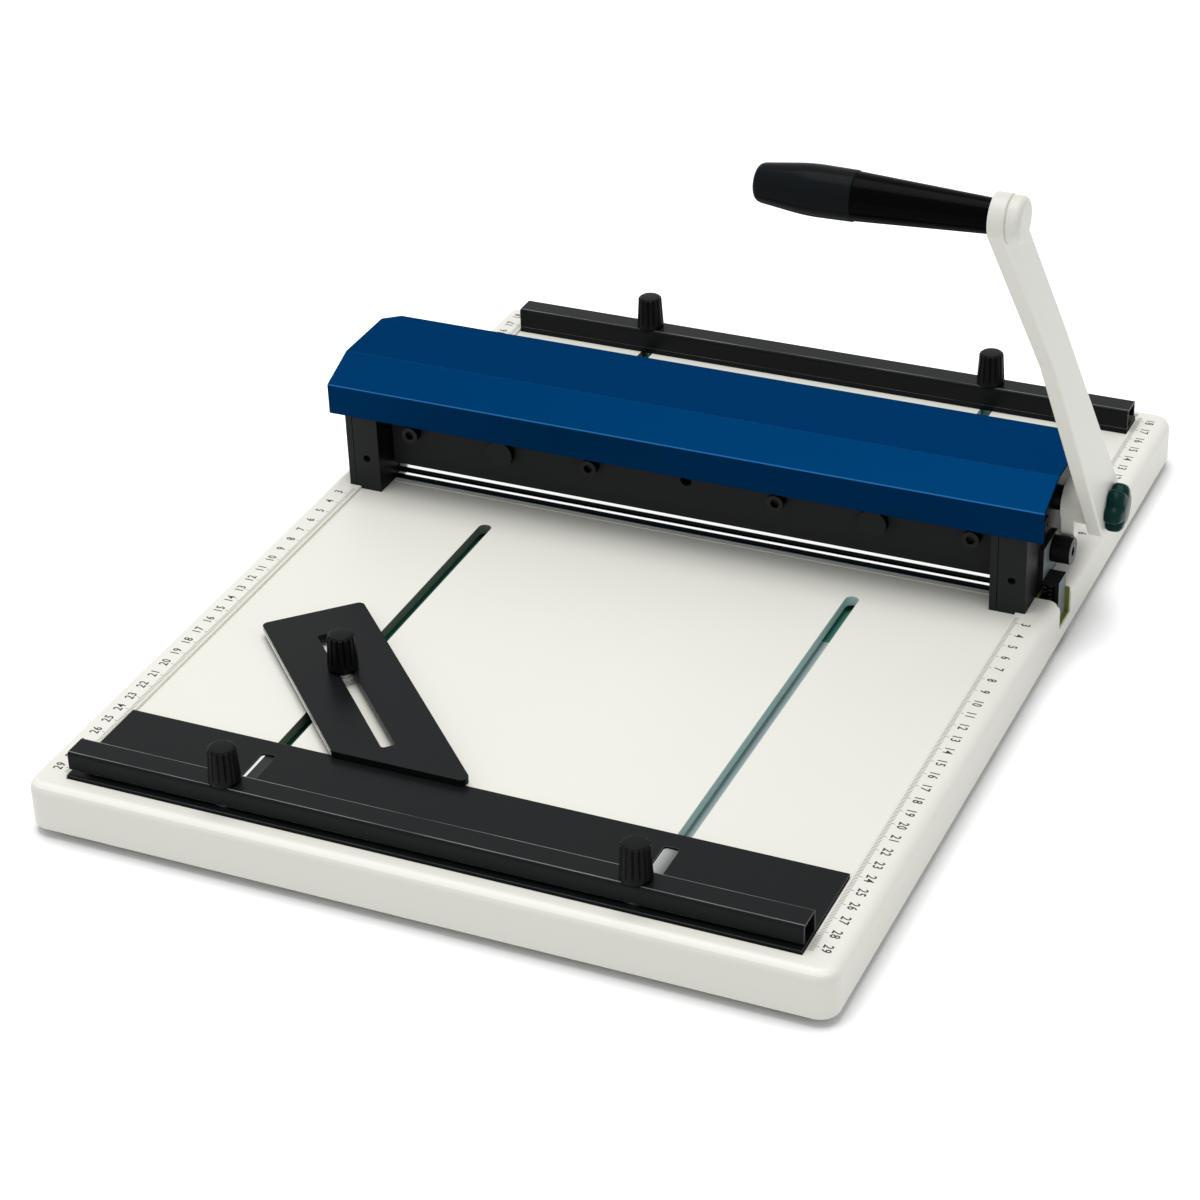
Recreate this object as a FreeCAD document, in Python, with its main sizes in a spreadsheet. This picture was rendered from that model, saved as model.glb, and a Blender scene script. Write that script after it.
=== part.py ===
import FreeCAD, Part
import math
import os
import Sketcher
from FreeCAD import Placement, Rotation, Vector

# A desktop paper creasing machine.
# It is drawn about its crease line: x runs along the crease to the right, y runs from the user to the
# back and is zero on the crease, and z is zero on the top of the table's rim.
# Every sub-part is then shifted alike, which puts the origin below the middle of the machine, on the desk.

doc = FreeCAD.newDocument("creasing_machine")
sheet = doc.addObject("Spreadsheet::Sheet", "Sizes")

SIZES = {
    # table
    "base_half_width": 187.2,
    "base_front": 307.0,
    "base_rear": 193.5,
    "base_height": 23.5,
    "base_corner": 9.0,
    "base_top_round": 5.5,
    "base_bottom_round": 2.0,
    "base_wall": 5.0,
    "table_thickness": 5.0,
    "rim_side": 16.8,
    "rim_front": 9.6,
    "rim_rear": 6.5,
    "recess_depth": 1.5,
    "slot_offset": 95.3,
    "slot_width": 6.5,
    "front_slot_gap": 11.0,
    "slot_land": 4.0,
    "rear_slot_gap": 5.7,
    "rear_slot_land": 3.0,
    "notch_front": 5.0,
    "notch_rear": 12.5,
    "notch_drop": 15.0,
    "notch_corner": 4.0,
    "cover_thickness": 1.5,
    "cover_play": 0.3,
    "cover_screw_radius": 1.5,
    "cover_screw_length": 8.0,
    "cover_post": 5.0,
    "foot_drop": 3.5,
    "foot_radius": 10.0,
    "foot_inset": 22.0,
    "foot_screw_inset": 0.8,
    "foot_screw_head": 1.6,
    "foot_screw_head_radius": 3.5,
    # cheeks
    "head_shift": -1.0,
    "cheek_width": 17.3,
    "cheek_inset": 11.55,
    "cheek_front": 20.5,
    "cheek_rear": 53.3,
    "cheek_plate": 3.5,
    "cheek_joint": 0.3,
    "cheek_play": 0.2,
    "cheek_hole_radius": 1.9,
    "cheek_hole_level": 16.1,
    "cheek_hole_depth": 9.0,
    "cheek_screw_radius": 3.0,
    "cheek_screw_head": 5.0,
    "cheek_screw_inset": 14.0,
    "cheek_screw_head_height": 4.0,
    "cheek_screw_grip": 14.0,
    "grub_length": 6.0,
    "grub_socket": 2.0,
    "grub_key": 1.2,
    "side_screw_y": 8.8,
    "side_screw_z": 32.4,
    "side_screw_radius": 2.5,
    "side_screw_head_radius": 4.0,
    "side_screw_rise": 0.8,
    # hood
    "hood_inset": 4.2,
    "hood_middle": 16.4,
    "hood_half_depth": 40.7,
    "hood_flat_half": 19.1,
    "hood_lip_bottom": 40.8,
    "hood_lip_top": 56.5,
    "hood_top": 64.9,
    "hood_sheet": 1.2,
    "hood_gap": 0.3,
    "hood_bend": 1.0,
    "rivet_radius": 1.5,
    "rivet_rise": 0.8,
    "rivet_level": 4.5,
    "hinge_drop": 3.8,
    "hinge_pin_radius": 1.5,
    "hinge_knuckle_radius": 2.9,
    "hinge_leaf": 1.2,
    "hinge_length": 40.0,
    "hinge_offset": 100.0,
    "hinge_fixed_drop": 12.0,
    "hinge_play": 0.05,
    "tie_depth": 8.0,
    "tie_bottom": 21.0,
    "tie_top": 34.5,
    "tie_screw_radius": 2.5,
    "tie_screw_grip": 14.0,
    # die
    "die_play": 0.45,
    "die_half_depth": 8.0,
    "die_seat_drop": 6.0,
    "die_rise": 0.5,
    "lip_height": 0.7,
    "lip_outer": 3.1,
    "lip_inner": 1.3,
    "matrix_depth": 6.0,
    "groove_depth": 2.4,
    "die_flange": 5.0,
    "die_flange_thickness": 3.5,
    "die_screw_radius": 1.5,
    "die_screw_grip": 3.5,
    "die_screw_head": 2.0,
    "die_screw_head_radius": 2.5,
    "die_screw_inset": 18.35,
    # press beam
    "beam_play": 0.75,
    "beam_front": 6.0,
    "beam_rear": 6.5,
    "beam_bottom": 8.3,
    "beam_top": 57.0,
    "clamp_top": 46.0,
    "blade_thickness": 1.0,
    "blade_tip": 3.3,
    "blade_top": 36.0,
    "beam_screw_inset": 12.85,
    "beam_screw_level": 27.9,
    "beam_screw_radius": 2.5,
    "beam_screw_head_radius": 4.25,
    "beam_screw_head": 5.0,
    "beam_socket_radius": 2.4,
    "socket_depth": 2.6,
    "pin_head_radius": 7.0,
    "pin_head": 4.0,
    "pin_radius": 4.0,
    "pin_level": 26.0,
    "centre_hole_radius": 2.9,
    "centre_hole_level": 28.6,
    "centre_hole_depth": 4.5,
    "centre_hole_shift": 1.0,
    # shaft, eccentrics and yokes
    "shaft_y": 25.0,
    "shaft_z": 38.0,
    "shaft_radius": 6.0,
    "shaft_play": 0.05,
    "throw": 4.26,
    "half_stroke": 25.0,
    "eccentric_radius": 10.5,
    "eccentric_width": 14.0,
    "yoke_offset": 97.0,
    "yoke_width": 18.0,
    "yoke_web": 3.0,
    "yoke_arm": 5.0,
    "yoke_reach": 36.5,
    "yoke_play": 0.12,
    "bush_wall": 3.0,
    "collar_length": 5.5,
    "collar_radius": 10.0,
    "collar_gap": 0.2,
    # lever
    "hub_gap": 4.65,
    "hub_length": 13.7,
    "hub_radius": 10.3,
    "hub_pin_radius": 1.6,
    "hub_pin_inset": 0.3,
    "lobe_width": 6.2,
    "lobe_y": 23.7,
    "lobe_z": 25.9,
    "lobe_radius": 6.0,
    "lobe_root_radius": 9.0,
    "arm_thickness": 7.0,
    "arm_foot_radius": 14.6,
    "arm_bend_y": 69.7,
    "arm_bend_z": 163.9,
    "arm_bend_radius": 9.6,
    "arm_head_y": 149.0,
    "arm_head_z": 258.0,
    "arm_head_radius": 10.0,
    "arm_edge": 0.8,
    "stud_radius": 4.0,
    "stud_length": 12.5,
    "stud_grip": 3.5,
    "star_gap": 0.3,
    "star_radius": 11.5,
    "star_length": 8.7,
    "star_notch": 2.6,
    "star_lobes": 6.0,
    "star_round": 2.5,
    "spindle_radius": 3.0,
    "cap_slit": 0.5,
    "cap_radius": 9.7,
    "cap_height": 6.0,
    "cap_round": 2.5,
    "grip_length": 98.1,
    "grip_step_reach": 55.7,
    "grip_crown_reach": 75.7,
    "grip_gap": 0.3,
    "grip_end_radius": 7.6,
    "grip_crown_radius": 10.6,
    "grip_step_radius": 10.3,
    "grip_taper_radius": 10.0,
    "grip_arm_radius": 7.1,
    "grip_end_wall": 9.1,
    "grip_end_round": 2.5,
    # lever stop and its bracket, outside the right cheek
    "buffer_y": 15.6,
    "buffer_z": 16.0,
    "buffer_radius": 6.5,
    "buffer_head": 9.55,
    "buffer_screw_radius": 2.5,
    "buffer_screw_grip": 9.0,
    "buffer_socket": 3.0,
    "bracket_sheet": 2.0,
    "bracket_front": 0.6,
    "bracket_rear": 22.0,
    "bracket_top": 23.0,
    "bracket_shelf": 6.5,
    "bracket_strip_rear": 12.0,
    "bracket_reach": 9.85,
    "spring_gap": 4.35,
    "spring_y": 4.4,
    "spring_radius": 2.9,
    "spring_root_radius": 2.2,
    "spring_pitch": 2.1,
    # gauges
    "gauge_side_gap": 0.4,
    "gauge_rim_gap": 0.4,
    "gauge_plate_depth": 55.5,
    "rear_gauge_rim_gap": 5.0,
    "rear_plate_depth": 15.5,
    "gauge_plate_thickness": 3.0,
    "bar_outer_inset": 2.5,
    "bar_depth": 13.0,
    "bar_height": 10.3,
    "bar_sheet": 1.2,
    "bar_gap": 1.7,
    "bar_bend": 1.6,
    "bolt_radius": 2.5,
    "bolt_head": 3.0,
    "bolt_head_width": 12.0,
    "bolt_play": 0.1,
    "spacer_radius": 5.0,
    "window_width": 7.0,
    "window_near": 9.5,
    "window_far": 51.5,
    "rear_window_near": 1.5,
    "rear_window_far": 11.5,
    "key_width": 6.1,
    "key_depth": 4.0,
    "key_play": 0.1,
    "window_corner": 1.5,
    "runner_drop": 1.0,
    "bolt_shift": 0.0,
    "bolt_rise": 13.0,
    # knobs
    "knob_height": 17.2,
    "knob_base_radius": 7.1,
    "knob_top_radius": 6.2,
    "knob_flutes": 14.0,
    "knob_flute_radius": 0.8,
    "knob_dome": 1.6,
    "knob_rim": 2.5,
    "knob_flute_ring": 6.7,
    "knob_bore_depth": 14.0,
    "knob_bore_play": 0.08,
    "knob_seat_gap": 0.1,
    # side guide
    "guide_y": 181.5,
    "guide_width": 49.15,
    "guide_long": 162.9,
    "guide_stud_along": 52.2,
    "guide_stud_across": 24.1,
    "guide_slot_start": 21.0,
    "guide_slot_tail": 41.7,
    "guide_slot_width": 6.4,
    "guide_thickness": 3.0,
    "guide_lift": 1.8,
    "guide_corner": 3.0,
    "guide_angle": 45.6,
    "block_flange_radius": 5.0,
    "block_flange": 1.2,
    "block_length": 16.0,
    "guide_washer_radius": 4.5,
    "guide_key_length": 8.0,
    "top_washer": 1.0,
    "top_washer_radius": 6.5,
}

for row, (word, value) in enumerate(SIZES.items(), start=1):
    sheet.set(f"A{row}", word)
    sheet.set(f"B{row}", repr(value))
    sheet.setAlias(f"B{row}", word)
doc.recompute()


class Size:
    """A number together with the sheet's expression that it comes from."""

    def __init__(self, value, rule):
        self.value = float(value)
        self.rule = rule

    def __float__(self):
        return self.value

    def __add__(self, other):
        other = as_size(other)
        return Size(self.value + other.value, f"({self.rule} + {other.rule})")

    def __sub__(self, other):
        other = as_size(other)
        return Size(self.value - other.value, f"({self.rule} - {other.rule})")

    def __mul__(self, other):
        other = as_size(other)
        return Size(self.value * other.value, f"{self.rule} * {other.rule}")

    def __truediv__(self, other):
        other = as_size(other)
        return Size(self.value / other.value, f"{self.rule} / {other.rule}")

    def __neg__(self):
        return Size(-self.value, f"(0 - {self.rule})")

    def __rsub__(self, other):
        return as_size(other) - self

    __radd__ = __add__
    __rmul__ = __mul__


def as_size(number):
    return number if isinstance(number, Size) else Size(number, repr(float(number)))


class Sheet:
    """Gives each word of the sheet as a Size."""

    def __getattr__(self, word):
        return Size(sheet.get(word), f"Sizes.{word}")


S = Sheet()


def cosine(angle):
    return Size(math.cos(math.radians(float(angle))), f"cos({angle.rule})")


def sine(angle):
    return Size(math.sin(math.radians(float(angle))), f"sin({angle.rule})")


def bind(thing, rules):
    for path, number in rules.items():
        thing.setExpression(path, as_size(number).rule)


# --- primitives and booleans ---------------------------------------------------------------------

AXES = {"x": Rotation(Vector(0, 1, 0), 90), "y": Rotation(Vector(1, 0, 0), -90), "z": Rotation()}


def length_of(span):
    low, high = span
    return as_size(high) - low


def box(x, y, z):
    made = doc.addObject("Part::Box", "Block")
    for side, letter, span in zip(("Length", "Width", "Height"), "xyz", (x, y, z)):
        bind(made, {side: length_of(span), f"Placement.Base.{letter}": span[0]})
    return made


def rod(axis, centre, span, radius):
    """A round bar along an axis; its centre is given on the two other axes in x, y, z order."""
    made = doc.addObject("Part::Cylinder", "Rod")
    made.Placement = Placement(Vector(), AXES[axis])
    across = [letter for letter in "xyz" if letter != axis]
    bind(made, {"Radius": radius, "Height": length_of(span), f"Placement.Base.{axis}": span[0]})
    bind(made, {f"Placement.Base.{letter}": place for letter, place in zip(across, centre)})
    return made


def six_sided(axis, centre, span, radius):
    """A hexagonal bar along an axis, for sockets and nuts."""
    made = doc.addObject("Part::Prism", "Hexagon")
    made.Polygon = 6
    made.Placement = Placement(Vector(), AXES[axis])
    across = [letter for letter in "xyz" if letter != axis]
    bind(made, {"Circumradius": radius, "Height": length_of(span), f"Placement.Base.{axis}": span[0]})
    bind(made, {f"Placement.Base.{letter}": place for letter, place in zip(across, centre)})
    return made


def group(pieces):
    made = doc.addObject("Part::Compound", "Group")
    made.Links = list(pieces)
    return made


def fuse(*pieces):
    made = doc.addObject("Part::MultiFuse", "Union")
    made.Shapes = list(pieces)
    made.Refine = True
    return made


def cut(base, *tools):
    made = doc.addObject("Part::Cut", "Cut")
    made.Base = base
    made.Tool = tools[0] if len(tools) == 1 else fuse(*tools)
    made.Refine = True
    return made


def slot(x, y, z, width):
    """A round-ended slot along y about the line at x; y spans its outer ends."""
    front, rear = y
    radius = width / 2
    middle = box((x - radius, x + radius), (front + radius, rear - radius), z)
    ends = [rod("z", (x, end), z, radius) for end in (front + radius, rear - radius)]
    return fuse(middle, *ends)


def opening(x, y, z):
    """A block with small round upright corners, for windows and for what lies in them."""
    corner = S.window_corner
    (left, right), (front, rear) = x, y
    across, along = (left + corner, right - corner), (front + corner, rear - corner)
    posts = [rod("z", (place, end), z, corner) for place in across for end in along]
    return fuse(box(x, along, z), box(across, y, z), *posts)


# --- bodies made of sketches -----------------------------------------------------------------------

PLANES = {"x": ("YZ_Plane", 1), "y": ("XZ_Plane", -1), "z": ("XY_Plane", 1)}


def body(name):
    return doc.addObject("PartDesign::Body", name)


def origin_feature(owner, role):
    return next(item for item in owner.Origin.OriginFeatures if item.Role == role)


def sketch(owner, axis, level):
    """An empty sketch across an axis, at a level on that axis."""
    role, side = PLANES[axis]
    drawn = owner.newObject("Sketcher::SketchObject", owner.Name + "Sketch")
    drawn.AttachmentSupport = (origin_feature(owner, role), [""])
    drawn.MapMode = "FlatFace"
    bind(drawn, {"AttachmentOffset.Base.z": as_size(level) * side})
    return drawn


def fix_point(drawn, item, point_kind, point):
    for kind, place in zip(("DistanceX", "DistanceY"), point):
        limit = Sketcher.Constraint(kind, -1, 1, item, point_kind, float(place))
        index = drawn.addConstraint(limit)
        drawn.setExpression(f"Constraints[{index}]", as_size(place).rule)


def draw_outline(drawn, corners):
    """A closed outline of straight lines, each corner held at its own place."""
    flat = [Vector(float(across), float(up), 0) for across, up in corners]
    first = drawn.GeometryCount
    for here, there in zip(flat, flat[1:] + flat[:1]):
        drawn.addGeometry(Part.LineSegment(here, there), False)
    for index in range(len(flat)):
        follower = (index + 1) % len(flat)
        drawn.addConstraint(Sketcher.Constraint("Coincident", first + index, 2, first + follower, 1))
    for index, corner in enumerate(corners):
        fix_point(drawn, first + index, 1, corner)


def draw_circle(drawn, centre, radius):
    flat = Vector(float(centre[0]), float(centre[1]), 0)
    item = drawn.addGeometry(Part.Circle(flat, Vector(0, 0, 1), float(radius)), False)
    fix_point(drawn, item, 3, centre)
    index = drawn.addConstraint(Sketcher.Constraint("Radius", item, float(radius)))
    drawn.setExpression(f"Constraints[{index}]", as_size(radius).rule)


def rectangle(across, up):
    (left, right), (low, high) = across, up
    return [(left, low), (right, low), (right, high), (left, high)]


def pad(owner, axis, span, draw):
    """Adds the drawn outline between two levels of an axis."""
    side = PLANES[axis][1]
    drawn = sketch(owner, axis, span[0] if side > 0 else span[1])
    draw(drawn)
    made = owner.newObject("PartDesign::Pad", owner.Name + "Pad")
    made.Profile = drawn
    bind(made, {"Length": length_of(span)})
    return made


def pocket(owner, axis, span, draw):
    """Takes the drawn outline away between two levels of an axis."""
    side = PLANES[axis][1]
    drawn = sketch(owner, axis, span[1] if side > 0 else span[0])
    draw(drawn)
    made = owner.newObject("PartDesign::Pocket", owner.Name + "Pocket")
    made.Profile = drawn
    bind(made, {"Length": length_of(span)})
    return made


def outline(corners):
    return lambda drawn: draw_outline(drawn, corners)


def circle(centre, radius):
    return lambda drawn: draw_circle(drawn, centre, radius)


def turned(owner, corners):
    """Turns an outline about the body's own z axis; the corners are (radius, height)."""
    drawn = sketch(owner, "y", 0)
    draw_outline(drawn, corners)
    made = owner.newObject("PartDesign::Revolution", owner.Name + "Turned")
    made.Profile = drawn
    made.ReferenceAxis = (drawn, ["V_Axis"])
    made.Angle = 360
    return made


CLOSE = 0.01


def round_edges(owner, radius, chosen):
    """Rounds the edges of a body that a test chooses."""
    doc.recompute()
    tip = owner.Tip
    names = [f"Edge{index}" for index, edge in enumerate(tip.Shape.Edges, start=1) if chosen(edge)]
    made = owner.newObject("PartDesign::Fillet", owner.Name + "Round")
    made.Base = (tip, names)
    bind(made, {"Radius": radius})
    return made


def running(axis, places):
    """A test for the straight edges along an axis that pass through one of the places."""
    across = ["xyz".index(letter) for letter in "xyz" if letter != axis]

    def passes(point, place):
        return all(abs(point[index] - float(level)) < CLOSE for index, level in zip(across, place))

    def chosen(edge):
        ends = [vertex.Point for vertex in edge.Vertexes]
        return len(ends) == 2 and any(all(passes(end, place) for end in ends) for place in places)

    return chosen


def level_with(axis, level):
    """A test for the edges that lie wholly at one level of an axis."""
    index = "xyz".index(axis)

    def chosen(edge):
        bounds = edge.BoundBox
        lows = (bounds.XMin, bounds.YMin, bounds.ZMin)
        highs = (bounds.XMax, bounds.YMax, bounds.ZMax)
        return abs(lows[index] - float(level)) < CLOSE and abs(highs[index] - float(level)) < CLOSE

    return chosen


# --- sub-parts ---------------------------------------------------------------------------------------

PRIMITIVES = ("Part::Box", "Part::Cylinder", "Part::Prism")
NODES = []


def node(name, made, place=(0, 0, 0)):
    """Names a finished sub-part and puts it at a place in the machine."""
    if made.TypeId in PRIMITIVES:
        made = group([made])
    made.Label = name
    for letter, shift, own in zip("xyz", SHIFT, place):
        bind(made, {f"Placement.Base.{letter}": shift + own})
    NODES.append(made)
    return made


def both(number):
    return (-number, number)


def around(middle, width):
    return (middle - width / 2, middle + width / 2)


# Levels and places that several sub-parts share.
BED = -S.recess_depth
ROOF = BED - S.table_thickness
UNDERSIDE = -S.base_height
COVER_TOP = UNDERSIDE + S.cover_thickness
BED_X = S.base_half_width - S.rim_side
BED_FRONT = -S.base_front + S.rim_front
BED_REAR = S.base_rear - S.rim_rear
WALL_X = S.base_half_width - S.base_wall
WALL_FRONT = -S.base_front + S.base_wall
WALL_REAR = S.base_rear - S.base_wall
FRONT_SLOT = (BED_FRONT + S.slot_land, -S.cheek_front - S.front_slot_gap)
REAR_SLOT = (S.cheek_rear + S.rear_slot_gap, BED_REAR - S.rear_slot_land)
FOOT_PLACES = [
    (side * (S.base_half_width - S.foot_inset), y)
    for side in (-1, 1)
    for y in (-S.base_front + S.foot_inset, S.base_rear - S.foot_inset)
]
CHEEK_OUTER = S.base_half_width - S.cheek_inset
CHEEK_INNER = CHEEK_OUTER - S.cheek_width
HEAD_RIGHT = S.head_shift + CHEEK_OUTER
HUB_X = (HEAD_RIGHT + S.hub_gap, HEAD_RIGHT + S.hub_gap + S.hub_length)
ARM_X = (HUB_X[1], HUB_X[1] + S.arm_thickness)
CHEEKS = {
    "left": (S.head_shift - CHEEK_OUTER, S.head_shift - CHEEK_INNER),
    "right": (S.head_shift + CHEEK_INNER, HEAD_RIGHT),
}
CHEEK_SCREW_Y = (-S.cheek_front + S.cheek_screw_inset, S.cheek_rear - S.cheek_screw_inset)
SHAFT = (S.shaft_y, S.shaft_z)
HINGE_Y = S.hood_middle + S.hood_half_depth - S.hood_sheet - S.hinge_leaf + S.hinge_knuckle_radius
HINGE_Z = S.hood_lip_bottom - S.hinge_drop
LEAF_Y = (HINGE_Y - S.hinge_knuckle_radius, HINGE_Y - S.hinge_knuckle_radius + S.hinge_leaf)
TIE_Y = (LEAF_Y[0] - S.tie_depth, LEAF_Y[0])
STAR_FACE = ARM_X[1] + S.star_gap + S.star_length
SHIFT = (
    (S.base_half_width - STAR_FACE) / 2,
    (S.base_front - S.base_rear) / 2,
    S.base_height + S.foot_drop,
)


def between_cheeks(play):
    return (CHEEKS["left"][1] + play, CHEEKS["right"][0] - play)


def cheek_block_x(side):
    left, right = CHEEKS[side]
    return (left + S.cheek_plate + S.cheek_joint, right)


def block_middle(side):
    left, right = cheek_block_x(side)
    return (left + right) / 2


# --- the table -----------------------------------------------------------------------------------

def base_table():
    made = body("TableShell")
    base_x, base_y = both(S.base_half_width), (-S.base_front, S.base_rear)
    pad(made, "z", (UNDERSIDE, 0), outline(rectangle(base_x, base_y)))
    round_edges(made, S.base_corner, running("z", [(x, y) for x in base_x for y in base_y]))
    round_edges(made, S.base_top_round, level_with("z", 0))
    round_edges(made, S.base_bottom_round, level_with("z", UNDERSIDE))
    bed_x, bed_y = both(BED_X), (BED_FRONT, BED_REAR)
    pocket(made, "z", (BED, 0), outline(rectangle(bed_x, bed_y)))
    pocket(made, "z", (UNDERSIDE, ROOF), outline(rectangle(both(WALL_X), (WALL_FRONT, WALL_REAR))))
    notch_x = (HEAD_RIGHT, S.base_half_width + S.notch_corner)
    notch_y = (-S.notch_front, S.notch_rear)
    pocket(made, "z", (-S.notch_drop, 0), outline(rectangle(notch_x, notch_y)))
    posts = [rod("z", place, (COVER_TOP, ROOF), S.cover_post) for place in FOOT_PLACES]
    threads = [rod("z", place, (COVER_TOP, COVER_TOP + S.cover_screw_length), S.cover_screw_radius)
               for place in FOOT_PLACES]
    through = (ROOF - 1, 0)
    slots = [
        slot(side * S.slot_offset, span, through, S.slot_width)
        for side in (-1, 1)
        for span in (FRONT_SLOT, REAR_SLOT)
    ]
    die_room = box(
        (CHEEKS["left"][1], CHEEKS["right"][0]),
        both(S.die_half_depth + S.cheek_play),
        through,
    )
    cheek_y = (-S.cheek_front - S.cheek_play, S.cheek_rear + S.cheek_play)
    cheek_seats = [box((left - S.cheek_play, right + S.cheek_play), cheek_y, (BED, 0))
                   for left, right in CHEEKS.values()]
    cheek_holes = [rod("z", (block_middle(side), y), (ROOF, BED), S.cheek_screw_radius)
                   for side in CHEEKS for y in CHEEK_SCREW_Y]
    die_holes = [rod("z", place, (ROOF, ROOF + S.die_screw_grip), S.die_screw_radius) for place in DIE_SCREWS]
    tools = threads + slots + [die_room] + cheek_seats + cheek_holes + die_holes
    node("base_table", cut(fuse(made, *posts), *tools))


DIE_SCREW_REACH = CHEEK_INNER - S.die_screw_inset
DIE_SCREWS = [
    (S.head_shift + side * along, depth * (S.die_half_depth + S.die_flange / 2))
    for side in (-1, 1)
    for along in (DIE_SCREW_REACH / 2, DIE_SCREW_REACH)
    for depth in (-1, 1)
]


def base_underside():
    lap = S.cover_play
    plate = box(
        (-WALL_X + lap, WALL_X - lap), (WALL_FRONT + lap, WALL_REAR - lap), (UNDERSIDE, COVER_TOP))
    holes = [rod("z", place, (UNDERSIDE, COVER_TOP), S.cover_screw_radius) for place in FOOT_PLACES]
    node("base_bottom_plate", cut(plate, *holes))
    floor = UNDERSIDE - S.foot_drop
    head = (floor + S.foot_screw_inset, floor + S.foot_screw_inset + S.foot_screw_head)
    feet = []
    screws = []
    for place in FOOT_PLACES:
        foot = rod("z", place, (floor, UNDERSIDE), S.foot_radius)
        well = rod("z", place, (floor, head[1]), S.foot_screw_head_radius)
        feet.append(cut(foot, well, rod("z", place, (floor, UNDERSIDE), S.cover_screw_radius)))
        shank = rod("z", place, (head[1], COVER_TOP + S.cover_screw_length), S.cover_screw_radius)
        screws.append(fuse(rod("z", place, head, S.foot_screw_head_radius), shank))
    node("rubber_feet", group(feet))
    node("foot_screws", group(screws))


# --- the cheeks and what joins them -------------------------------------------------------------

SLOPE = (S.hood_top - S.hood_lip_top) / (S.hood_half_depth - S.hood_flat_half)


def cheek_outline():
    """The profile in y and z: it follows the hood's bends from the inside."""
    lap = S.hood_sheet + S.hood_gap
    top = S.hood_top - lap
    corner = S.hood_flat_half - SLOPE * lap / 2
    front, rear = -S.cheek_front, S.cheek_rear
    middle = S.hood_middle
    front_drop = SLOPE * (middle - corner - front)
    rear_drop = SLOPE * (rear - middle - corner)
    return [
        (front, BED), (rear, BED), (rear, top - rear_drop), (middle + corner, top),
        (middle - corner, top), (front, top - front_drop),
    ]


def cheeks():
    plates = []
    for side, (left, right) in CHEEKS.items():
        block_left, block_right = cheek_block_x(side)
        plate = body(f"{side}Plate")
        pad(plate, "x", (left, left + S.cheek_plate), outline(cheek_outline()))
        bush_radius = S.shaft_radius + S.bush_wall
        plate_tools = [rod("x", SHAFT, (left, block_left), bush_radius)]
        block = body(f"{side}Block")
        pad(block, "x", (block_left, block_right), outline(cheek_outline()))
        hole = (block_middle(side), S.cheek_hole_level)
        grub = (-S.cheek_front, -S.cheek_front + S.cheek_hole_depth)
        block_tools = [
            rod("x", SHAFT, (block_left, block_right), bush_radius),
            rod("y", hole, grub, S.cheek_hole_radius),
        ]
        for y in CHEEK_SCREW_Y:
            depth = (BED, BED + S.cheek_screw_grip)
            block_tools.append(rod("z", (block_middle(side), y), depth, S.cheek_screw_radius))
        plate_tools.append(rod("x", TIE_SCREW, (left, right), S.tie_screw_radius))
        block_tools.append(rod("x", TIE_SCREW, (left, right), S.tie_screw_radius))
        if side == "right":
            thread = (block_right - S.buffer_screw_grip, block_right)
            block_tools.append(rod("x", (S.buffer_y, S.buffer_z), thread, S.buffer_screw_radius))
            block_tools.append(rod("x", (S.side_screw_y, S.side_screw_z), thread, S.side_screw_radius))
        plates.append(cut(plate, *plate_tools))
        node(f"{side}_cheek_block", cut(block, *block_tools))
    node("cheek_plates", group(plates))


TIE_SCREW = ((TIE_Y[0] + TIE_Y[1]) / 2, (S.tie_bottom + S.tie_top) / 2)


def cheek_fasteners():
    grubs = []
    mounts = []
    bushes = []
    for side, (left, right) in CHEEKS.items():
        start = -S.cheek_front + S.cheek_hole_depth - S.grub_length
        place = (block_middle(side), S.cheek_hole_level)
        grub = rod("y", place, (start, start + S.grub_length), S.cheek_hole_radius)
        grubs.append(cut(grub, six_sided("y", place, (start, start + S.grub_socket), S.grub_key)))
        for y in CHEEK_SCREW_Y:
            middle = (block_middle(side), y)
            head = rod("z", middle, (ROOF - S.cheek_screw_head_height, ROOF), S.cheek_screw_head)
            shank = rod("z", middle, (ROOF, BED + S.cheek_screw_grip), S.cheek_screw_radius)
            mounts.append(fuse(head, shank))
        outer = rod("x", SHAFT, (left, right), S.shaft_radius + S.bush_wall)
        bushes.append(cut(outer, rod("x", SHAFT, (left, right), S.shaft_radius + S.shaft_play)))
    node("cheek_grub_screws", group(grubs))
    node("cheek_mount_screws", group(mounts))
    node("shaft_bushes", group(bushes))
    face = HEAD_RIGHT
    side_place = (S.side_screw_y, S.side_screw_z)
    side_rod = rod("x", side_place, (face - S.buffer_screw_grip, face), S.side_screw_radius)
    side_head = rod("x", side_place, (face, face + S.side_screw_rise), S.side_screw_head_radius)
    socket = six_sided("x", side_place, (face - S.side_screw_rise, face + S.side_screw_rise), S.grub_key)
    node("cheek_side_screw", cut(fuse(side_rod, side_head), socket))


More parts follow.
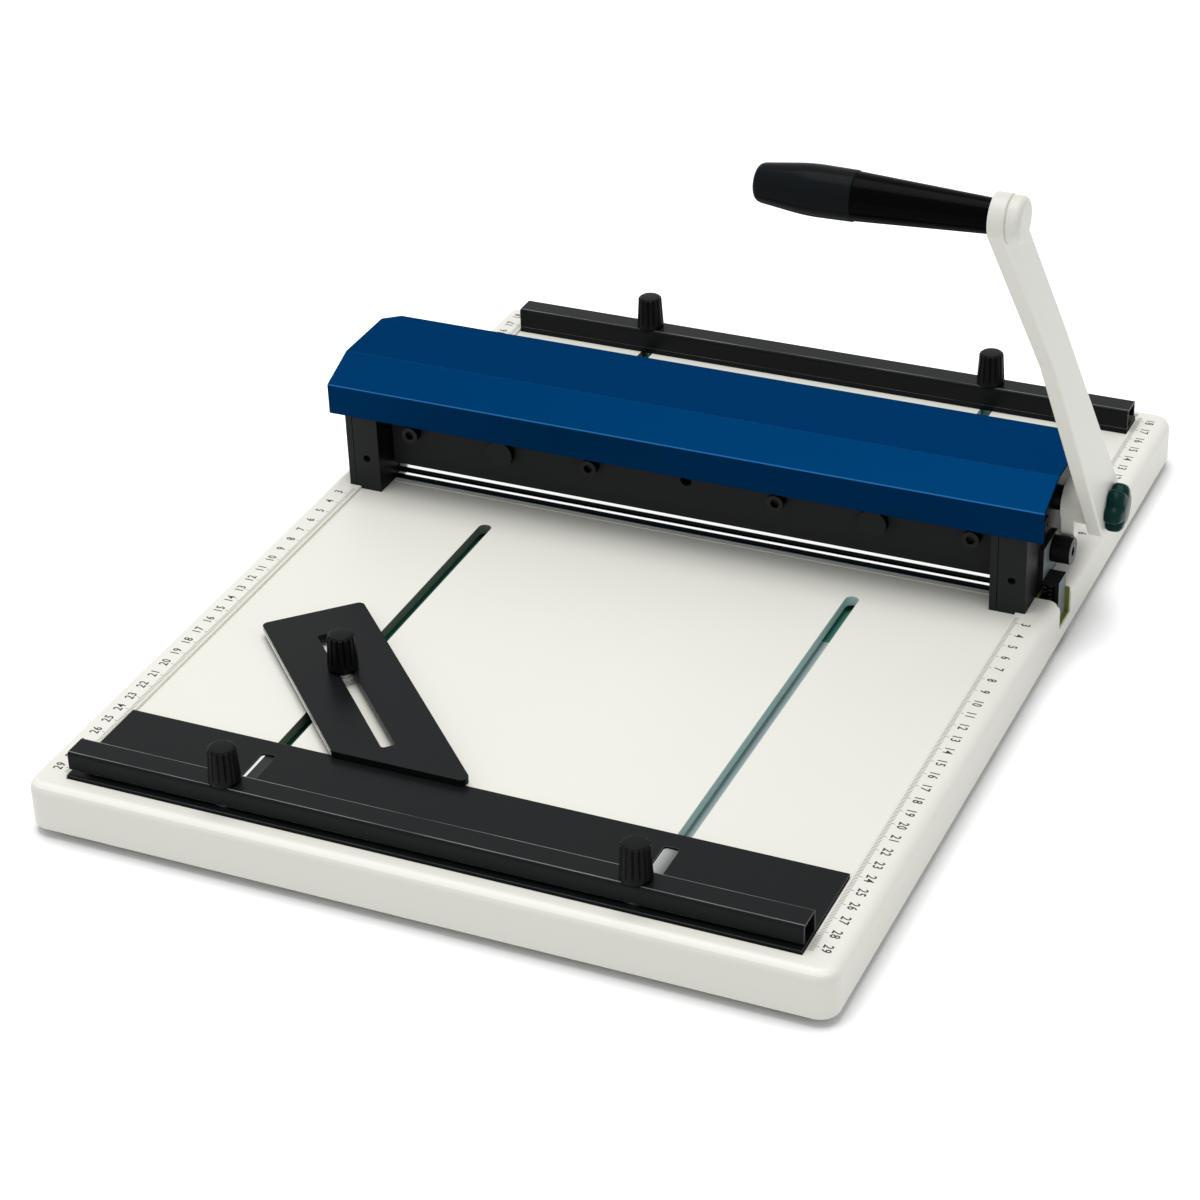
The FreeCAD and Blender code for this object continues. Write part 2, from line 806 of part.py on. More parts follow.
def tie_bar():
    ends = (CHEEKS["left"][1], CHEEKS["right"][0])
    bar = box(ends, TIE_Y, (S.tie_bottom, S.tie_top))
    reach = S.tie_screw_grip
    tools = [
        rod("x", TIE_SCREW, (ends[0], ends[0] + reach), S.tie_screw_radius),
        rod("x", TIE_SCREW, (ends[1] - reach, ends[1]), S.tie_screw_radius),
    ]
    node("rear_tie_bar", cut(bar, *tools))
    screws = []
    for side, (left, right) in CHEEKS.items():
        outer, reach_in, step = (left, ends[0] + reach, -1) if side == "left" else (right, ends[1] - reach, 1)
        tip = outer + S.beam_screw_head * step
        shank = sorted((outer, reach_in), key=float)
        head = sorted((outer, tip), key=float)
        key = sorted((tip, tip - S.socket_depth * step), key=float)
        piece = fuse(rod("x", TIE_SCREW, shank, S.tie_screw_radius),
                     rod("x", TIE_SCREW, head, S.beam_screw_head_radius))
        screws.append(cut(piece, six_sided("x", TIE_SCREW, key, S.beam_socket_radius)))
    node("tie_bar_screws", group(screws))


# --- the crease die ---------------------------------------------------------------------------------

def crease_die():
    x = between_cheeks(S.die_play)
    top = BED + S.die_rise
    core = box(x, both(S.die_half_depth), (ROOF - S.die_seat_drop, top))
    low = ROOF - S.die_flange_thickness
    flange_z = (low, ROOF)
    flange = box(x, both(S.die_half_depth + S.die_flange), flange_z)
    seat = box(x, both(S.lip_outer), (S.lip_height - S.matrix_depth, top))
    holes = [rod("z", place, flange_z, S.die_screw_radius) for place in DIE_SCREWS]
    node("die_holder", cut(fuse(core, flange), seat, *holes))
    bar = box(x, both(S.lip_outer), (S.lip_height - S.matrix_depth, S.lip_height))
    groove = box(x, both(S.lip_inner), (S.lip_height - S.groove_depth, S.lip_height))
    node("crease_matrix", cut(bar, groove))
    screws = []
    for place in DIE_SCREWS:
        head = rod("z", place, (low - S.die_screw_head, low), S.die_screw_head_radius)
        screws.append(fuse(head, rod("z", place, (low, ROOF + S.die_screw_grip), S.die_screw_radius)))
    node("die_screws", group(screws))


# --- the press beam ---------------------------------------------------------------------------------

BEAM_X = between_cheeks(S.beam_play)
BLADE_Y = both(S.blade_thickness / 2)
SCREW_REACH = CHEEK_INNER - S.beam_screw_inset
SCREW_X = [S.head_shift + side * SCREW_REACH / share for side in (-1, 1) for share in (3, 1)]
YOKE_X = [S.head_shift + side * S.yoke_offset for side in (-1, 1)]
WEB_Y = (S.beam_rear, S.beam_rear + S.yoke_web)


def beam_holes(y):
    screws = [rod("y", (x, S.beam_screw_level), y, S.beam_screw_radius) for x in SCREW_X]
    return screws + [rod("y", (x, S.pin_level), y, S.pin_radius) for x in YOKE_X]


def press_beam():
    rear_y = (BLADE_Y[1], S.beam_rear)
    node("press_beam", cut(box(BEAM_X, rear_y, (S.beam_bottom, S.beam_top)), *beam_holes(rear_y)))
    front_y = (-S.beam_front, BLADE_Y[0])
    centre = (S.head_shift + S.centre_hole_shift, S.centre_hole_level)
    hole = rod("y", centre, (-S.beam_front, -S.beam_front + S.centre_hole_depth), S.centre_hole_radius)
    plate = box(BEAM_X, front_y, (S.beam_bottom, S.clamp_top))
    node("clamp_plate", cut(plate, hole, *beam_holes(front_y)))
    node("crease_blade", cut(box(BEAM_X, BLADE_Y, (S.blade_tip, S.blade_top)), *beam_holes(BLADE_Y)))
    screws = []
    face = -S.beam_front
    for x in SCREW_X:
        place = (x, S.beam_screw_level)
        head = rod("y", place, (face - S.beam_screw_head, face), S.beam_screw_head_radius)
        shank = rod("y", place, (face, S.beam_rear), S.beam_screw_radius)
        key = (face - S.beam_screw_head, face - S.beam_screw_head + S.socket_depth)
        screws.append(cut(fuse(head, shank), six_sided("y", place, key, S.beam_socket_radius)))
    node("beam_cap_screws", group(screws))
    pins = []
    for x in YOKE_X:
        head = rod("y", (x, S.pin_level), (face - S.pin_head, face), S.pin_head_radius)
        pins.append(fuse(head, rod("y", (x, S.pin_level), (face, WEB_Y[1]), S.pin_radius)))
    node("yoke_pins", group(pins))


def eccentric_centre():
    """Where the eccentrics' centre stands when the lever is up."""
    back = S.half_stroke
    return (S.shaft_y - S.throw * cosine(back), S.shaft_z + S.throw * sine(back))


def yoke_blocks():
    half = S.eccentric_radius + S.yoke_play
    middle = eccentric_centre()[1]
    blocks = []
    for x in YOKE_X:
        wide = (x - S.yoke_width / 2, x + S.yoke_width / 2)
        low, high = middle - half - S.yoke_arm, middle + half + S.yoke_arm
        web = box(wide, WEB_Y, (S.pin_level - S.pin_head_radius, high))
        arms = box(wide, (WEB_Y[0], S.yoke_reach), (low, high))
        gap = box(wide, (WEB_Y[1], S.yoke_reach), (middle - half, middle + half))
        bore = rod("y", (x, S.pin_level), WEB_Y, S.pin_radius)
        blocks.append(cut(fuse(web, arms), gap, bore))
    node("yoke_blocks", group(blocks))


# --- shaft and lever ----------------------------------------------------------------------------------

STUD_X = (HUB_X[1] - S.stud_grip, HUB_X[1] + S.stud_length)
LOBE_X = (HUB_X[0], HUB_X[0] + S.lobe_width)
HEAD = (-S.arm_head_y, S.arm_head_z)
GRIP_RIGHT = ARM_X[0] - S.grip_gap
GRIP_BORE = S.grip_length - S.grip_end_wall
BEND = (-S.arm_bend_y, S.arm_bend_z)


def hub_pin(radius_span):
    """The cross pin through hub and shaft, straight up and down."""
    middle = (LOBE_X[1] + STUD_X[0]) / 2
    return rod("z", (middle, S.shaft_y), (S.shaft_z - radius_span, S.shaft_z + radius_span), S.hub_pin_radius)


def main_shaft():
    left = CHEEKS["left"][0] - S.collar_length - S.collar_gap
    bar = rod("x", SHAFT, (left, HUB_X[1]), S.shaft_radius)
    lift = eccentric_centre()
    half = S.eccentric_width / 2
    discs = [rod("x", lift, (x - half, x + half), S.eccentric_radius) for x in YOKE_X]
    thread = rod("x", SHAFT, (STUD_X[0], HUB_X[1]), S.stud_radius)
    node("main_shaft", cut(fuse(bar, *discs), thread, hub_pin(S.hub_radius)))
    collar = rod("x", SHAFT, (left, left + S.collar_length), S.collar_radius)
    node("shaft_collar", cut(collar, rod("x", SHAFT, (left, left + S.collar_length), S.shaft_radius)))


def tapered_strap(x, start, start_radius, end, end_radius):
    """A flat bar with round ends of two sizes; its sides are tangent to both ends."""
    first = Vector(0, float(start[0]), float(start[1]))
    last = Vector(0, float(end[0]), float(end[1]))
    big, small = float(start_radius), float(end_radius)
    along = (last - first).normalize()
    aside = Vector(0, -along.z, along.y)
    lean = (big - small) / (last - first).Length
    rise = math.sqrt(1 - lean * lean)
    rim = []
    for side in (1, -1):
        normal = along * lean + aside * (rise * side)
        rim.append((first + normal * big, last + normal * small))
    (one, two), (four, three) = rim
    tip = last + along * small
    tail = first - along * big
    edges = [
        Part.LineSegment(one, two), Part.Arc(two, tip, three),
        Part.LineSegment(three, four), Part.Arc(four, tail, one),
    ]
    face = Part.Face(Part.Wire([edge.toShape() for edge in edges]))
    low, high = float(x[0]), float(x[1])
    face.translate(Vector(low, 0, 0))
    return face.extrude(Vector(high - low, 0, 0))


def shaped(name, shape):
    made = doc.addObject("Part::Feature", name)
    made.Shape = shape
    return made


def lever():
    hub = rod("x", SHAFT, HUB_X, S.hub_radius)
    lobe = shaped("Lobe", tapered_strap(
        LOBE_X, SHAFT, S.lobe_root_radius, (S.lobe_y, S.lobe_z), S.lobe_radius))
    bore = rod("x", SHAFT, HUB_X, S.shaft_radius)
    node("lever_hub", cut(fuse(hub, lobe), bore, hub_pin(S.hub_radius)))
    node("lever_hub_pin", hub_pin(S.hub_radius - S.hub_pin_inset))
    lower = tapered_strap(ARM_X, SHAFT, S.arm_foot_radius, BEND, S.arm_bend_radius)
    upper = tapered_strap(ARM_X, BEND, S.arm_bend_radius, HEAD, S.arm_head_radius)
    bar = lower.fuse(upper).removeSplitter()
    rims = [edge for edge in bar.Edges if level_with("x", ARM_X[0])(edge) or level_with("x", ARM_X[1])(edge)]
    bar = shaped("LeverBar", bar.makeFillet(float(S.arm_edge), rims))
    holes = [rod("x", SHAFT, ARM_X, S.stud_radius), rod("x", HEAD, ARM_X, S.spindle_radius)]
    node("lever_arm", cut(bar, *holes))
    node("lever_clamp_stud", rod("x", SHAFT, STUD_X, S.stud_radius))
    spindle = rod("x", HEAD, (GRIP_RIGHT - GRIP_BORE + S.grip_gap, ARM_X[1]), S.spindle_radius)
    node("handle_spindle", spindle)
    cap = body("Cap")
    inner = S.cap_radius - S.cap_slit
    turned(cap, [
        (0, 0), (inner, 0), (inner, S.cap_slit), (S.cap_radius, S.cap_slit),
        (S.cap_radius, S.cap_height), (0, S.cap_height),
    ])
    round_edges(cap, S.cap_round, level_with("z", S.cap_height))
    facing(node("handle_cap", cap, (ARM_X[1], HEAD[0], HEAD[1])))


def facing(made, turn=1):
    """Lays a turned body down, so that its own z axis points to the right or to the left."""
    made.Placement = Placement(made.Placement.Base, Rotation(Vector(0, 1, 0), 90 * turn))
    return made


def star_knob():
    length = S.star_length
    made = body("Star")
    pad(made, "z", (0, length), circle((0, 0), S.star_radius))
    round_edges(made, S.star_round, level_with("z", length))
    ring = S.star_radius + S.star_notch / 4
    drawn = circle((ring, 0), S.star_notch)
    notch = pocket(made, "z", (0, length), drawn)
    repeat_round(made, notch, S.star_lobes)
    pocket(made, "z", (0, S.stud_length - S.arm_thickness), circle((0, 0), S.stud_radius + S.shaft_play))
    facing(node("star_knob", made, (ARM_X[1] + S.star_gap, *SHAFT)))


def repeat_round(owner, feature, times):
    """Repeats a feature of a body evenly round its z axis."""
    made = owner.newObject("PartDesign::PolarPattern", owner.Name + "Pattern")
    made.Originals = [feature]
    made.Axis = (origin_feature(owner, "Z_Axis"), [""])
    made.Angle = 360
    bind(made, {"Occurrences": times})
    owner.Tip = made
    return made


def handle_grip():
    made = body("Grip")
    bore = S.spindle_radius + S.shaft_play
    turned(made, [
        (bore, 0), (S.grip_arm_radius, 0), (S.grip_taper_radius, S.grip_step_reach),
        (S.grip_step_radius, S.grip_step_reach), (S.grip_crown_radius, S.grip_crown_reach),
        (S.grip_end_radius, S.grip_length), (0, S.grip_length), (0, GRIP_BORE), (bore, GRIP_BORE),
    ])
    round_edges(made, S.grip_end_round, level_with("z", S.grip_length))
    facing(node("handle_grip", made, (GRIP_RIGHT, *HEAD)), -1)


# --- the stop beside the right cheek --------------------------------------------------------------------

def stop_bracket():
    face = HEAD_RIGHT
    sheet_x = (face, face + S.bracket_sheet)
    outer = face + S.bracket_reach
    outer_x = (outer - S.bracket_sheet, outer)
    y = (S.bracket_front, S.bracket_rear)
    shelf_y = (S.bracket_front, S.bracket_strip_rear)
    shelf_z = (S.bracket_shelf - S.bracket_sheet, S.bracket_shelf)
    upright = box(sheet_x, y, (shelf_z[0], S.bracket_top))
    shelf = box((face, outer), shelf_y, shelf_z)
    strip = box(outer_x, shelf_y, (-S.notch_drop, S.bracket_shelf))
    place = (S.buffer_y, S.buffer_z)
    node("stop_bracket", cut(fuse(upright, shelf, strip), rod("x", place, sheet_x, S.buffer_screw_radius)))
    tip = sheet_x[1] + S.buffer_head
    head = rod("x", place, (sheet_x[1], tip), S.buffer_radius)
    shank = rod("x", place, (face - S.buffer_screw_grip, sheet_x[1]), S.buffer_screw_radius)
    key = six_sided("x", place, (tip - S.buffer_socket, tip), S.beam_socket_radius)
    node("stop_screw", cut(fuse(head, shank), key))


def stop_spring():
    """A close-wound spring, drawn as a bar with one rounded ring for each turn."""
    top = S.bracket_shelf - S.bracket_sheet
    low = float(COVER_TOP)
    turns = round((float(top) - low) / float(S.spring_pitch))
    pitch = (float(top) - low) / turns
    root, rim = float(S.spring_root_radius), float(S.spring_radius)
    edges = [Part.LineSegment(Vector(0, 0, low), Vector(root, 0, low))]
    for turn in range(turns):
        start, end = low + turn * pitch, low + (turn + 1) * pitch
        middle = Vector(rim, 0, (start + end) / 2)
        edges.append(Part.Arc(Vector(root, 0, start), middle, Vector(root, 0, end)))
    edges.append(Part.LineSegment(Vector(root, 0, float(top)), Vector(0, 0, float(top))))
    edges.append(Part.LineSegment(Vector(0, 0, float(top)), Vector(0, 0, low)))
    face = Part.Face(Part.Wire([edge.toShape() for edge in edges]))
    coil = face.revolve(Vector(0, 0, 0), Vector(0, 0, 1), 360)
    node("stop_spring", shaped("Coil", coil), (HEAD_RIGHT + S.spring_gap, S.spring_y, 0))


# --- the hood --------------------------------------------------------------------------------------------

def hood_side(inset):
    """The bends of the hood from the front lip to the rear one, that far inside its outer face."""
    half, flat = S.hood_half_depth - inset, S.hood_flat_half - SLOPE * inset / 2
    top = S.hood_top - inset
    shoulder = top - SLOPE * (half - flat)
    rise = [(half, S.hood_lip_bottom), (half, shoulder), (flat, top)]
    front = [(S.hood_middle - across, up) for across, up in rise]
    rear = [(S.hood_middle + across, up) for across, up in reversed(rise)]
    return front + rear


def hood():
    outer, inner = hood_side(as_size(0)), hood_side(S.hood_sheet)
    made = body("HoodSheet")
    x = both(S.base_half_width - S.hood_inset)
    pad(made, "x", x, outline(outer + inner[::-1]))
    bends = outer[1:-1]
    round_edges(made, S.hood_bend, running("x", bends))
    holes = [rivet("hole", x_place) for x_place in RIVET_X]
    node("hood", cut(made, *holes))
    rivets = []
    rear = S.hood_middle + S.hood_half_depth
    for x_place in RIVET_X:
        head = rod("y", (x_place, RIVET_Z), (rear, rear + S.rivet_rise), S.rivet_radius * 2)
        rivets.append(fuse(rivet("shank", x_place), head))
    node("hood_rivets", group(rivets))


HINGE_X = [S.head_shift - S.hinge_offset, S.head_shift + S.hinge_offset]
RIVET_X = [x + side * S.hinge_length / 3 for x in HINGE_X for side in (-1, 1)]
RIVET_Z = S.hood_lip_bottom + S.rivet_level


def rivet(kind, x_place):
    rear = S.hood_middle + S.hood_half_depth
    start = LEAF_Y[0] if kind == "shank" else LEAF_Y[1]
    return rod("y", (x_place, RIVET_Z), (start, rear), S.rivet_radius)


def hinges():
    """Two butt hinges: the middle knuckle belongs to the hood, the outer two to the tie bar."""
    hood_leaves = []
    fixed_leaves = []
    pins = []
    for x in HINGE_X:
        half = S.hinge_length / 2
        inner = S.hinge_length / 6
        gap = S.hinge_play * 2
        spans = {
            "hood": [(x - inner + gap, x + inner - gap)],
            "fixed": [(x - half, x - inner - gap), (x + inner + gap, x + half)],
        }
        rise = (HINGE_Z, S.hood_lip_bottom + S.rivet_level * 2)
        upper = box((x - half, x + half), LEAF_Y, (HINGE_Z + S.hinge_knuckle_radius + gap, rise[1]))
        neck = box(spans["hood"][0], LEAF_Y, rise)
        barrel = rod("x", (HINGE_Y, HINGE_Z), spans["hood"][0], S.hinge_knuckle_radius)
        bore = rod("x", (HINGE_Y, HINGE_Z), (x - half, x + half), S.hinge_pin_radius + S.hinge_play)
        rivets = [rivet("shank", x + side * S.hinge_length / 3) for side in (-1, 1)]
        hood_leaves.append(cut(fuse(upper, neck, barrel), bore, *rivets))
        low = HINGE_Z - S.hinge_fixed_drop
        level = HINGE_Z - S.hinge_knuckle_radius - gap
        pieces = [box((x - half, x + half), LEAF_Y, (low, level))]
        for span in spans["fixed"]:
            pieces.append(box(span, LEAF_Y, (level, HINGE_Z)))
            pieces.append(rod("x", (HINGE_Y, HINGE_Z), span, S.hinge_knuckle_radius))
        fixed_bore = rod("x", (HINGE_Y, HINGE_Z), (x - half, x + half), S.hinge_pin_radius)
        fixed_leaves.append(cut(fuse(*pieces), fixed_bore))
        pins.append(rod("x", (HINGE_Y, HINGE_Z), (x - half, x + half), S.hinge_pin_radius))
    node("hood_hinge_leaves", group(hood_leaves))
    node("hinge_fixed_leaves", group(fixed_leaves))
    node("hinge_pins", group(pins))


# --- knobs -------------------------------------------------------------------------------------------------

def knob(name, x, y, z):
    """A fluted clamping knob that stands on its foot at a place."""
    height, top = S.knob_height, S.knob_top_radius
    made = body("Knob")
    turned(made, [
        (0, 0), (S.knob_base_radius, 0), (S.knob_base_radius, S.knob_rim),
        (top, height - S.knob_dome), (top - S.knob_dome, height), (0, height),
    ])
    flute = pocket(made, "z", (S.knob_rim, height), circle((S.knob_flute_ring, 0), S.knob_flute_radius))
    repeat_round(made, flute, S.knob_flutes)
    pocket(made, "z", (0, S.knob_bore_depth), circle((0, 0), S.bolt_radius + S.knob_bore_play))
    node(name, made, (x, y, z))


# --- the two gauges ---------------------------------------------------------------------------------------

class Gauge:
    """Places of one gauge; depth runs from the stop edge away from the crease line."""

    def __init__(self, name, side, rim, plate_depth, window):
        self.name = name
        self.side = side
        self.stop = rim - plate_depth
        self.plate_depth = plate_depth
        self.window = window

    def y(self, near, far):
        """The span in y between two depths."""
        first, last = (self.stop + near) * self.side, (self.stop + far) * self.side
        return (first, last) if self.side > 0 else (last, first)

    def level(self, depth):
        return (self.stop + depth) * self.side


FRONT = Gauge("front", -1, -BED_FRONT - S.gauge_rim_gap, S.gauge_plate_depth, (S.window_near, S.window_far))
REAR_WINDOW = (S.rear_window_near, S.rear_window_far)
REAR = Gauge("rear", 1, BED_REAR - S.rear_gauge_rim_gap, S.rear_plate_depth, REAR_WINDOW)
PLATE_TOP = BED + S.gauge_plate_thickness
SHOE = S.bolt_head_width / 2


def gauge(item):
    x = both(BED_X - S.gauge_side_gap)
    outer = item.plate_depth - S.bar_outer_inset
    inner = outer - S.bar_depth
    middle = inner + S.bar_depth / 2 + S.bolt_shift
    bolt_y = item.level(middle)
    near, far = item.window
    plate = box(x, item.y(0, item.plate_depth), (BED, PLATE_TOP))
    windows = [opening(around(side * S.slot_offset, S.window_width), item.y(near, far), (BED, PLATE_TOP))
               for side in (-1, 1)]
    node(f"{item.name}_gauge_plate", cut(plate, *windows))
    bar = body(f"{item.name}Bar")
    crown = PLATE_TOP + S.bar_height
    inner_y, outer_y = item.level(inner), item.level(outer)
    inner_wall, outer_wall = item.level(inner + S.bar_sheet), item.level(outer - S.bar_sheet)
    lift = PLATE_TOP + S.bar_gap
    profile = [
        (inner_y, PLATE_TOP), (inner_y, crown), (outer_y, crown), (outer_y, lift),
        (outer_wall, lift), (outer_wall, crown - S.bar_sheet), (inner_wall, crown - S.bar_sheet),
        (inner_wall, PLATE_TOP),
    ]
    pad(bar, "x", x, outline(profile))
    round_edges(bar, S.bar_bend, running("x", [(inner_y, crown), (outer_y, crown)]))
    holes = [rod("z", (side * S.slot_offset, bolt_y), (crown - S.bar_sheet, crown), S.bolt_radius)
             for side in (-1, 1)]
    node(f"{item.name}_gauge_bar", cut(bar, *holes))
    keys = []
    bolts = []
    tubes = []
    for side in (-1, 1):
        line = side * S.slot_offset
        key = slot(line, item.y(near, far), (BED - S.key_depth, BED), S.key_width)
        lap = S.key_play
        strip_x = around(line, S.window_width - lap * 2)
        strip = opening(strip_x, item.y(near + lap, far - lap), (BED, PLATE_TOP - S.runner_drop))
        bore = rod("z", (line, bolt_y), (BED - S.key_depth, PLATE_TOP), S.bolt_radius)
        keys.append(cut(fuse(key, strip), bore))
        head_z = (ROOF - S.bolt_play - S.bolt_head, ROOF - S.bolt_play)
        head = box((line - SHOE, line + SHOE), (bolt_y - SHOE, bolt_y + SHOE), head_z)
        bolts.append(fuse(head, rod("z", (line, bolt_y), (head_z[1], crown + S.bolt_rise), S.bolt_radius)))
        tube_z = (PLATE_TOP, crown - S.bar_sheet)
        tube = rod("z", (line, bolt_y), tube_z, S.spacer_radius)
        tubes.append(cut(tube, rod("z", (line, bolt_y), tube_z, S.bolt_radius)))
    node(f"{item.name}_gauge_runners", group(keys))
    node(f"{item.name}_gauge_bolts", group(bolts))
    node(f"{item.name}_gauge_spacers", group(tubes))
    for side, word in ((-1, "left"), (1, "right")):
        knob(f"{item.name}_{word}_knob", side * S.slot_offset, bolt_y, crown + S.knob_seat_gap)


# --- the side guide ---------------------------------------------------------------------------------------

STUD = (-S.slot_offset, -S.guide_y)
GUIDE_Z = (S.guide_lift, S.guide_lift + S.guide_thickness)
FLANGE_TOP = BED + S.block_flange


def side_guide_plate():
    along, across = -S.guide_stud_along, -S.guide_stud_across
    rear = across + S.guide_width
    short = S.guide_long - S.guide_width * cosine(S.guide_angle) / sine(S.guide_angle)
    corners = [(along, across), (along + short, across), (along + S.guide_long, rear), (along, rear)]
    made = body("GuidePlate")
    pad(made, "z", (0, S.guide_thickness), outline(corners))
    round_edges(made, S.guide_corner, running("z", corners))
    half = S.guide_slot_width / 2
    start, end = along + S.guide_slot_start, along + S.guide_long - S.guide_slot_tail
    track = opening((start, end), both(half), (0, S.guide_thickness))
    plate = node("side_guide_plate", cut(made, track), (*STUD, GUIDE_Z[0]))
    turn_about_z(plate, S.guide_angle)


def turn_about_z(made, angle):
    made.Placement = Placement(made.Placement.Base, Rotation(Vector(0, 0, 1), -float(angle)))
    bind(made, {"Placement.Rotation.Angle": angle})
    made.Placement.Rotation.Axis = Vector(0, 0, -1)


def guide_fittings():
    x, y = STUD
    half, reach = S.key_width / 2, S.block_length / 2
    foot = box((x - half, x + half), (y - reach, y + reach), (BED - S.key_depth, BED))
    flange = rod("z", STUD, (BED, FLANGE_TOP), S.block_flange_radius)
    bore = rod("z", STUD, (BED - S.key_depth, FLANGE_TOP), S.bolt_radius)
    node("guide_slide_block", cut(fuse(foot, flange), bore))
    top = GUIDE_Z[1] + S.top_washer
    head_z = (ROOF - S.bolt_play - S.bolt_head, ROOF - S.bolt_play)
    head = box((x - SHOE, x + SHOE), (y - SHOE, y + SHOE), head_z)
    node("guide_bolt", fuse(head, rod("z", STUD, (head_z[1], top + S.bolt_rise), S.bolt_radius)))
    disc = rod("z", (0, 0), (0, S.guide_lift - FLANGE_TOP), S.guide_washer_radius)
    key_half = S.guide_slot_width / 2 - S.key_play
    rise = GUIDE_Z[1] - FLANGE_TOP - S.key_play
    straight = S.guide_key_length / 2 - key_half
    key_ends = [rod("z", (place, 0), (0, rise), key_half) for place in both(straight)]
    key = fuse(box(both(straight), both(key_half), (0, rise)), *key_ends)
    hole = rod("z", (0, 0), (0, rise), S.bolt_radius + S.shaft_play)
    washer = node("guide_washer", cut(fuse(disc, key), hole), (*STUD, FLANGE_TOP))
    turn_about_z(washer, S.guide_angle)
    ring = rod("z", STUD, (GUIDE_Z[1], top), S.top_washer_radius)
    node("guide_top_washer", cut(ring, rod("z", STUD, (GUIDE_Z[1], top), S.bolt_radius)))
    knob("side_guide_knob", x, y, top + S.knob_seat_gap)


base_table()
base_underside()
cheeks()
cheek_fasteners()
tie_bar()
crease_die()
press_beam()
yoke_blocks()
main_shaft()
lever()
star_knob()
handle_grip()
stop_bracket()
stop_spring()
hood()
hinges()
gauge(FRONT)
gauge(REAR)
side_guide_plate()
guide_fittings()

doc.recompute()
for item in doc.Objects:
    if "Invalid" in item.State or "Error" in item.State:
        raise RuntimeError(f"{item.Name} ({item.TypeId}) failed: {item.State}")
for item in NODES:
    if item.Shape.isNull() or not item.Shape.isValid() or not item.Shape.Solids:
        raise RuntimeError(f"{item.Label} has no sound shape")

os.makedirs("parts", exist_ok=True)
for item in NODES:
    item.Shape.exportStep(f"parts/{item.Label}.step")
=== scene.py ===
"""Finishes, printed scales and fine pieces of a hand-lever paper creasing machine."""

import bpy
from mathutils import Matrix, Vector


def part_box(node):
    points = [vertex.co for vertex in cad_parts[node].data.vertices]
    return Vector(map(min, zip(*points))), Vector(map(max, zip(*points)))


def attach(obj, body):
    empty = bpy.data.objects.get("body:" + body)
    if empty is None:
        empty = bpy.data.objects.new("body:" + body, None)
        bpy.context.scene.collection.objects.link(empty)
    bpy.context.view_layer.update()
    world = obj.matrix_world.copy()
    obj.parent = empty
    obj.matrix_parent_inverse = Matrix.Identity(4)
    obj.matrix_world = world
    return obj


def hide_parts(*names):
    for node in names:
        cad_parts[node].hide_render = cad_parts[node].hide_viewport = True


bl_info = {
    "name": "Paper Creasing Machine",
    "version": (1, 0, 0),
    "blender": (4, 5, 0),
    "location": "View3D > Sidebar > Creaser",
    "description": "Finishes, printed scales and fine pieces of a hand-lever paper creasing machine",
    "category": "Object",
}

import math

import bmesh
import bpy
from bpy.props import FloatProperty, FloatVectorProperty, IntProperty, PointerProperty
from mathutils import Matrix, Vector

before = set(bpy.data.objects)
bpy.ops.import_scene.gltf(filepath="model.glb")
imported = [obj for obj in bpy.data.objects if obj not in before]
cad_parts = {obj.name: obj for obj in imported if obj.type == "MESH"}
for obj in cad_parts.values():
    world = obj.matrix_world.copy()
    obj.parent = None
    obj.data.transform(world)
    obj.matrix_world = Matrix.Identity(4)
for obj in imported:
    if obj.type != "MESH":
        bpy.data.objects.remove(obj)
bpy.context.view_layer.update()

MM = 0.001
KNOBS = {
    "front_left_knob": "front_left_knob_body",
    "front_right_knob": "front_right_knob_body",
    "rear_left_knob": "rear_left_knob_body",
    "rear_right_knob": "rear_right_knob_body",
    "side_guide_knob": "side_guide_knob_body",
}


# --- small helpers ---------------------------------------------------------------------------------

def linear(code):
    """An sRGB hex colour as linear red, green and blue."""
    shares = [int(code[start:start + 2], 16) / 255 for start in (1, 3, 5)]
    return tuple(s / 12.92 if s <= 0.04045 else ((s + 0.055) / 1.055) ** 2.4 for s in shares)


def colour(name, description, code):
    """A colour that the user can change, from its sRGB hex code."""
    return FloatVectorProperty(
        name=name, description=description, subtype="COLOR", size=3, min=0, max=1, default=linear(code))


def length(name, description, millimetres):
    """A length that the user can change."""
    return FloatProperty(
        name=name, description=description, unit="LENGTH", subtype="DISTANCE", min=0, precision=5,
        default=millimetres * MM)


def centre(node):
    """The middle of a CAD piece's box."""
    low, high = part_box(node)
    return (low + high) / 2


def per_mm(millimetres):
    """Texture scale at which one cell of a pattern is this wide on the object."""
    return 1 / (millimetres * MM)


def scaled(base, share):
    """A colour made darker or lighter by a share."""
    return tuple(min(1, share * channel) for channel in base)


# --- sizes and colours -----------------------------------------------------------------------------

